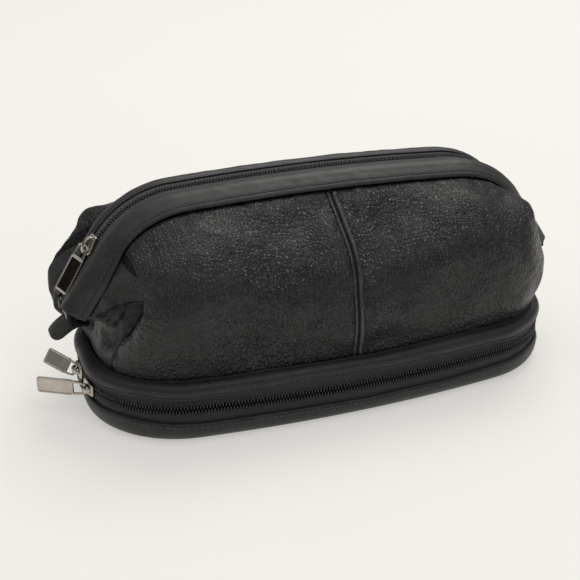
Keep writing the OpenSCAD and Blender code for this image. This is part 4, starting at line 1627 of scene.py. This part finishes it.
@dataclass
class EndTab:
    """Folded leather tongue that stands out under a pivot, and the pivot's rivet."""

    finishes: Finishes
    rows: RowMaker
    right: bool
    half_width: float = 9.8
    path: tuple[tuple[float, float], ...] = (
        (-126.5, 49.5), (-130.0, 51.4), (-133.5, 51.9), (-137.0, 51.1), (-140.4, 49.1), (-143.6, 46.6), (-146.6, 43.9),
    )

    def bend(self, points: np.ndarray) -> np.ndarray:
        """Carry flat tab points (along, across, out) onto the tab's curved path."""
        line = spline(np.array(self.path), 10)
        step = np.linalg.norm(np.diff(line, axis=0), axis=1)
        run = np.concatenate([[0], np.cumsum(step)])
        along, across, out = points[:, 0], points[:, 1], points[:, 2]
        at = np.column_stack([np.interp(along, run, line[:, k]) for k in (0, 1)])
        way = np.gradient(line, axis=0)
        way /= np.linalg.norm(way, axis=1, keepdims=True)
        up = np.column_stack([np.interp(along, run, way[:, 1]), -np.interp(along, run, way[:, 0])])
        lift = out - 0.02 * across**2
        placed = np.column_stack([at[:, 0] + up[:, 0] * lift, across, at[:, 1] + up[:, 1] * lift])
        return placed * [-1, 1, 1] if self.right else placed

    def build(self) -> None:
        """Make the tab, its stitches and the rivet."""
        line = np.array(self.path)
        length = float(np.linalg.norm(np.diff(spline(line, 10), axis=0), axis=1).sum()) - 0.05
        w = self.half_width
        outline = rounded(
            [(0, -w + 2.5, 1.0), (length * 0.4, -w, 3.0), (length, -w, 6.8), (length, w, 6.8), (length * 0.4, w, 3.0),
             (0, w - 2.5, 1.0)],
            10,
        )
        layers = [(1.2, -1.15), (0.35, -1.0), (0.0, -0.5), (0.0, 0.3), (0.35, 0.85), (0.9, 1.05), (1.35, 0.85),
                  (1.8, 1.0), (3.2, 1.15)]
        points, faces = stacked(outline, layers, 0.0)
        side = "right" if self.right else "left"
        piece = solid_object(f"{side}_tab", [(self.bend(points), faces)])
        dress(piece, self.finishes.band)
        finish_piece(piece, "smooth_leather", "main_bag", [f"end_tab_{side}"])
        inner = stacked(outline, [(1.35, 0.93)])[0][: len(outline)]
        thread = self.rows.make(
            f"{side}_tab_stitches", [(self.bend(np.vstack([inner, inner[:1]])), Row(2.4, 0.4, 0.4, 1.7))],
            self.finishes.thread,
        )
        finish_piece(thread, "smooth_leather", "main_bag")
        turn = np.linspace(0, 2 * math.pi, 25)[:-1]
        disc = 2.5 * np.column_stack([np.cos(turn), np.sin(turn)])
        stem = 1.45 * np.column_stack([np.cos(turn), np.sin(turn)])
        head = stacked(disc, [(0.3, 0.0), (0.0, 0.15), (0.0, 0.5), (0.3, 0.95), (1.0, 1.25), (1.8, 1.35)], 0.02)
        shank = stacked(stem, [(0.0, -5.4), (0.0, 0.1)])
        shells = []
        for points, faces in (head, shank):
            x = -139.3 - points[:, 2]
            shells.append((np.column_stack([-x if self.right else x, points[:, 0], 60 + points[:, 1]]), faces))
        piece = dress(solid_object(f"{side}_rivet", shells), self.finishes.rivet)
        finish_piece(piece, "nickel", "main_bag", [f"pivot_pin_{side}"])


@dataclass
class Slider:
    """Cast zip slider and its pull, in the slider's own frame.

    X points to the closed teeth, Z out of the bag, and the origin is on the chain's face.
    """

    finishes: Finishes
    name: str
    body: str
    pull_body: str
    origin: tuple[float, float, float]
    ahead: tuple[float, float, float]
    out: tuple[float, float, float]
    lift: float
    roll: float = 0.0
    tilt: float = 0.0
    hang: float = 0.0
    dark_face: bool = False
    clearance: float = 0.8
    plate: float = 1.2
    chain: float = 2.0
    hinge: float = 3.5
    pull_length: float = 26.0
    pull_width: float = 8.8

    @property
    def place(self) -> np.ndarray:
        """Matrix from the slider's own frame to the bag's."""
        x, z = np.array(self.ahead, float), np.array(self.out, float)
        matrix = np.eye(4)
        matrix[:3, 0], matrix[:3, 1], matrix[:3, 2] = x, np.cross(z, x), z
        matrix[:3, 3] = self.origin
        return matrix

    @staticmethod
    def rolled(points: np.ndarray, angle: float) -> np.ndarray:
        """Turn points about their own X by an angle in degrees."""
        c, s = math.cos(math.radians(angle)), math.sin(math.radians(angle))
        return points @ np.array([[1, 0, 0], [0, c, -s], [0, s, c]]).T

    def shield(self) -> np.ndarray:
        """Plan of the slider's plates: broad shoulders, narrow tail."""
        return rounded(
            [(5.4, -3.1, 1.0), (5.4, 3.1, 1.0), (1.5, 3.5, 2.0), (-2.6, 4.6, 1.6), (-5.3, 3.6, 1.8), (-5.5, -3.6, 1.8),
             (-2.6, -4.6, 1.6), (1.5, -3.5, 2.0)],
            4,
        )

    def casting(self) -> None:
        """Make the slider: two plates, the post between them and the bridge."""
        c, t = self.clearance, self.plate
        upper = stacked(
            self.shield(), [(0.5, c - 0.5), (0.1, c - 0.45), (0, c - 0.1), (0, c + t - 0.45), (0.25, c + t - 0.1),
                            (0.8, c + t), (1.6, c + t + 0.12)], 0.1,
        )
        base = -self.chain - c - t
        lower = stacked(
            self.shield(),
            [(0.8, base), (0.2, base + 0.15), (0, base + 0.45), (0, base + t), (0.5, base + t + 0.3)],
            0.0,
        )
        post = stacked(
            rounded([(-5.0, -0.55, 0.3), (-3.3, -0.55, 0.3), (-3.3, 0.55, 0.3), (-5.0, 0.55, 0.3)], 3),
            [(0, base + t / 2), (0, c + t / 2)],
        )
        arc = np.linspace(0, math.pi, 15)
        path = np.column_stack(
            [0.4 - 0.5 * self.hang + (3.6 + 0.5 * self.hang) * np.cos(arc),
             np.zeros(15),
             c + t - 0.3 + (self.hinge - c - t + 1.5) * np.sin(arc) ** 0.7]
        )
        bridge = tube(path, np.tile([0.0, 1.0, 0.0], (15, 1)), 2.5, 0.95)
        shells = [(self.rolled(points, self.tilt), faces) for points, faces in (upper, lower, post, bridge)]
        piece = solid_object(f"{self.name}_casting", shells, self.place)
        dress(piece, self.finishes.nickel)
        finish_piece(piece, "nickel", self.body, [self.name])

    def pull(self) -> None:
        """Make the pull: a rimmed plate and the narrow loop that hangs on the bridge."""
        loop, w = 6.5 + self.hang, self.pull_width / 2
        thick = 0.7
        tip = self.pull_length + 1.3 * self.hang
        plan = rounded([(-tip, -w, 1.6), (-loop, -w, 1.6), (-loop, w, 1.6), (-tip, w, 1.6)], 6)
        plan = plan if self._counter(plan) else plan[::-1]
        bead = [(0.95, 0.55), (0.85, 0.8), (0.66, 0.97), (0.45, 1.04), (0.24, 0.97), (0.07, 0.75), (0.0, 0.35)]
        rim = [(inset, thick * rise) for inset, rise in bead]
        layers = [(i, -z) for i, z in rim] + [(i, z) for i, z in rim[::-1]]
        layers = [(1.3, -thick * 0.55), *layers, (1.3, thick * 0.55)]
        plate = stacked(plan, layers)
        neck = 3.1
        ring = rounded(
            [(-loop - 0.2, -w + 0.9, 0.8), (-2.0 - self.hang, -neck, 1.6), (0.2 - self.hang, -neck + 0.6, 0.8),
             (0.2 - self.hang, neck - 0.6, 0.8), (-2.0 - self.hang, neck, 1.6), (-loop - 0.2, w - 0.9, 0.8)],
            6,
        )
        path = np.column_stack([ring, np.zeros(len(ring))])
        run = np.roll(path, -1, axis=0) - np.roll(path, 1, axis=0)
        run /= np.maximum(np.linalg.norm(run, axis=1, keepdims=True), 1e-9)
        across = np.cross(run, [0, 0, 1.0])
        hoop = tube(path, across, 1.25, 1.35, closed=True)
        a = math.radians(self.lift)
        turn = np.array([[math.cos(a), 0, math.sin(a)], [0, 1, 0], [-math.sin(a), 0, math.cos(a)]])
        shells = [(self.rolled(p, self.roll) @ turn.T + [0, 0, self.hinge], f) for p, f in (plate, hoop)]
        short = self.name.replace("slider", "pull")
        piece = solid_object(f"{short}_plate", shells, self.place)
        dress(piece, self.finishes.nickel)
        finish_piece(piece, "nickel", self.pull_body, [short])
        # The top pull's face is an inset plate of dark metal: a painted reflection of a dark room.
        if self.dark_face:
            border = 1.25
            field = rounded([(-tip + border, -w + border, 0.8), (-loop - border, -w + border, 0.8),
                             (-loop - border, w - border, 0.8), (-tip + border, w - border, 0.8)], 4)
            points, faces = stacked(field, [(0.1, -0.47), (0.0, -0.42), (0.0, 0.42), (0.1, 0.47)])
            points = self.rolled(points, self.roll) @ turn.T + [0, 0, self.hinge]
            piece = solid_object(f"{short}_face", [(points, faces)], self.place)
            dress(piece, self.finishes.dark_face)
            finish_piece(piece, "nickel", self.pull_body)

    @staticmethod
    def _counter(plan: np.ndarray) -> bool:
        """Whether an outline runs counter-clockwise."""
        x, y = plan[:, 0], plan[:, 1]
        return float(np.sum(x * np.roll(y, -1) - y * np.roll(x, -1))) > 0

    def build(self) -> None:
        """Make the slider and its pull."""
        self.casting()
        self.pull()


# ---- room ----


@dataclass
class Studio:
    """Pale floor, soft light from above and the camera."""

    target: tuple[float, float, float] = (0.0, 0.0, 0.060)
    azimuth: float = -21.91
    elevation: float = 22.3
    distance: float = 0.60024
    focal: float = 67.18
    shift: tuple[float, float] = (-0.0420, -0.0433)

    def sky(self, scene: bpy.types.Scene) -> None:
        """Make the room's soft light, bright above and dim at eye level, before a plain backdrop."""
        world = bpy.data.worlds.new("room")
        world.use_nodes = True
        tree = world.node_tree
        tree.nodes.clear()
        way = add_node(tree, "ShaderNodeSeparateXYZ", {0: add_node(tree, "ShaderNodeTexCoord").outputs["Generated"]})
        glow = add_node(
            tree, "ShaderNodeMapRange",
            {"Value": way.outputs["Z"], "From Min": 0.1, "From Max": 0.85, "To Min": 0.03, "To Max": 0.82},
        )
        room = add_node(tree, "ShaderNodeBackground", {"Color": linear("#fbfaf7"), "Strength": glow.outputs["Result"]})
        drop = add_node(tree, "ShaderNodeBackground", {"Color": linear("#f2f1ed"), "Strength": 1.0})
        seen = add_node(tree, "ShaderNodeLightPath").outputs["Is Camera Ray"]
        both = add_node(tree, "ShaderNodeMixShader", {0: seen, 1: room.outputs[0], 2: drop.outputs[0]})
        add_node(tree, "ShaderNodeOutputWorld", {"Surface": both.outputs[0]})
        scene.world = world

    def floor(self) -> None:
        """Make the pale floor, which glows with painted light of its own."""
        material, tree, shader = start_material("pale_paper_floor")
        here = place_socket(tree, Place.OBJECT)
        cloud = add_node(tree, "ShaderNodeTexNoise", {"Vector": here, "Scale": 2.0, "Detail": 2.0})
        tone = add_node(
            tree, "ShaderNodeMix", {0: cloud.outputs["Fac"], 6: linear("#b9b7b3"), 7: linear("#bcbab6")},
            data_type="RGBA",
        )
        tree.links.new(tone.outputs[2], shader.inputs["Base Color"])
        shader.inputs["Roughness"].default_value = 0.9
        # The floor glows with painted light: half of its brightness is its own, so shadows on it stay faint.
        shader.inputs["Emission Color"].default_value = linear("#fffdf9")
        shader.inputs["Emission Strength"].default_value = 0.44
        mesh = bpy.data.meshes.new("floor")
        reach = 9.0
        corners = [(-reach, -reach, 0), (reach, -reach, 0), (reach, reach, 0), (-reach, reach, 0)]
        mesh.from_pydata(corners, [], [(0, 1, 2, 3)])
        floor = bpy.data.objects.new("floor", mesh)
        bpy.context.scene.collection.objects.link(floor)
        dress(floor, material)

    def lamp(
        self, name: str, place: tuple[float, float, float], size: float, power: float, tint: str = "#ffffff"
    ) -> None:
        """Add a square soft light that faces the bag."""
        data = bpy.data.lights.new(name, "AREA")
        data.shape = "SQUARE"
        data.size = size
        data.energy = power
        data.color = linear(tint)[:3]
        lamp = bpy.data.objects.new(name, data)
        lamp.location = place
        lamp.rotation_euler = (Vector(self.target) - Vector(place)).to_track_quat("-Z", "Y").to_euler()
        bpy.context.scene.collection.objects.link(lamp)

    def camera(self) -> None:
        """Set the camera at its angle."""
        a, e = math.radians(self.azimuth), math.radians(self.elevation)
        back = Vector((math.sin(a) * math.cos(e), -math.cos(a) * math.cos(e), math.sin(e)))
        data = bpy.data.cameras.new("camera")
        data.lens = self.focal
        data.sensor_width = 36.0
        data.shift_x, data.shift_y = self.shift
        data.clip_start, data.clip_end = 0.01, 50
        camera = bpy.data.objects.new("camera", data)
        camera.location = Vector(self.target) + back * self.distance
        camera.rotation_euler = (-back).to_track_quat("-Z", "Y").to_euler()
        bpy.context.scene.collection.objects.link(camera)
        bpy.context.scene.camera = camera

    def build(self) -> None:
        """Make the room."""
        scene = bpy.context.scene
        scene.view_settings.view_transform = "Standard"
        self.sky(scene)
        self.floor()
        self.lamp("key", (0.95, 1.0, 2.35), 1.5, 26.0, "#fffdf8")
        self.lamp("window", (0.35, -1.25, 1.45), 0.5, 3.2, "#f8faff")
        self.camera()


def sliders(finishes: Finishes, outline: BaseOutline, arch: ZipArch) -> list[Slider]:
    """Lay out the three sliders where the frame has them.

    Args:
        finishes: The bag's finishes.
        outline: Plan of the base.
        arch: Side view of the top zip.

    Returns:
        The three sliders with their places.
    """
    a = math.pi / 2 - arch.lean + math.radians(4)
    sx, sz = arch.shoulder
    r = arch.shoulder_radius
    top = Slider(
        finishes, "top_slider", "top_slider", "top_pull",
        (-sx - r * math.sin(a), 0.0, sz + r * math.cos(a)),
        (math.cos(a), 0.0, math.sin(a)), (-math.sin(a), 0.0, math.cos(a)),
        lift=0.0, roll=34.0, tilt=11.0, hang=2.0, dark_face=True,
    )
    cx, cy = outline.corner
    chain_r = outline.corner_radius - 1.5
    b = math.radians(10.4)
    front = Slider(
        finishes, "front_base_slider", "front_base_slider", "front_base_pull",
        (-cx - chain_r * math.cos(b), -cy - chain_r * math.sin(b), 18.9),
        (math.sin(b), -math.cos(b), 0.0), (-math.cos(b), -math.sin(b), 0.0), lift=46.0,
    )
    c = math.radians(-4)
    rear = Slider(
        finishes, "rear_base_slider", "rear_base_slider", "rear_base_pull",
        (-cx - chain_r * math.cos(c), cy + chain_r * math.sin(c), 18.9),
        (math.sin(c), math.cos(c), 0.0), (-math.cos(c), math.sin(c), 0.0), lift=159.0, roll=-38.0,
    )
    return [top, front, rear]


def main() -> None:
    """Build the bag in order: base, frames, body, fittings and room."""
    logging.basicConfig(level=logging.INFO, format="%(name)s %(message)s")
    Studio().build()
    finishes, rows = Finishes(), RowMaker()
    outline, arch = BaseOutline(), ZipArch()
    ZipTrayBase(outline, finishes, rows).build()
    halves = [FrameHalf(arch, finishes, rows, back) for back in (False, True)]
    for half in halves:
        half.build()
    LeatherBody(outline, arch, finishes, rows, halves[0]).build()
    for right in (False, True):
        EndTab(finishes, rows, right).build()
    for board in ("bottom_board", "floor_board"):
        dress(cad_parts[board], finishes.board)
    for slider in sliders(finishes, outline, arch):
        slider.build()


if __name__ == "__main__":
    main()
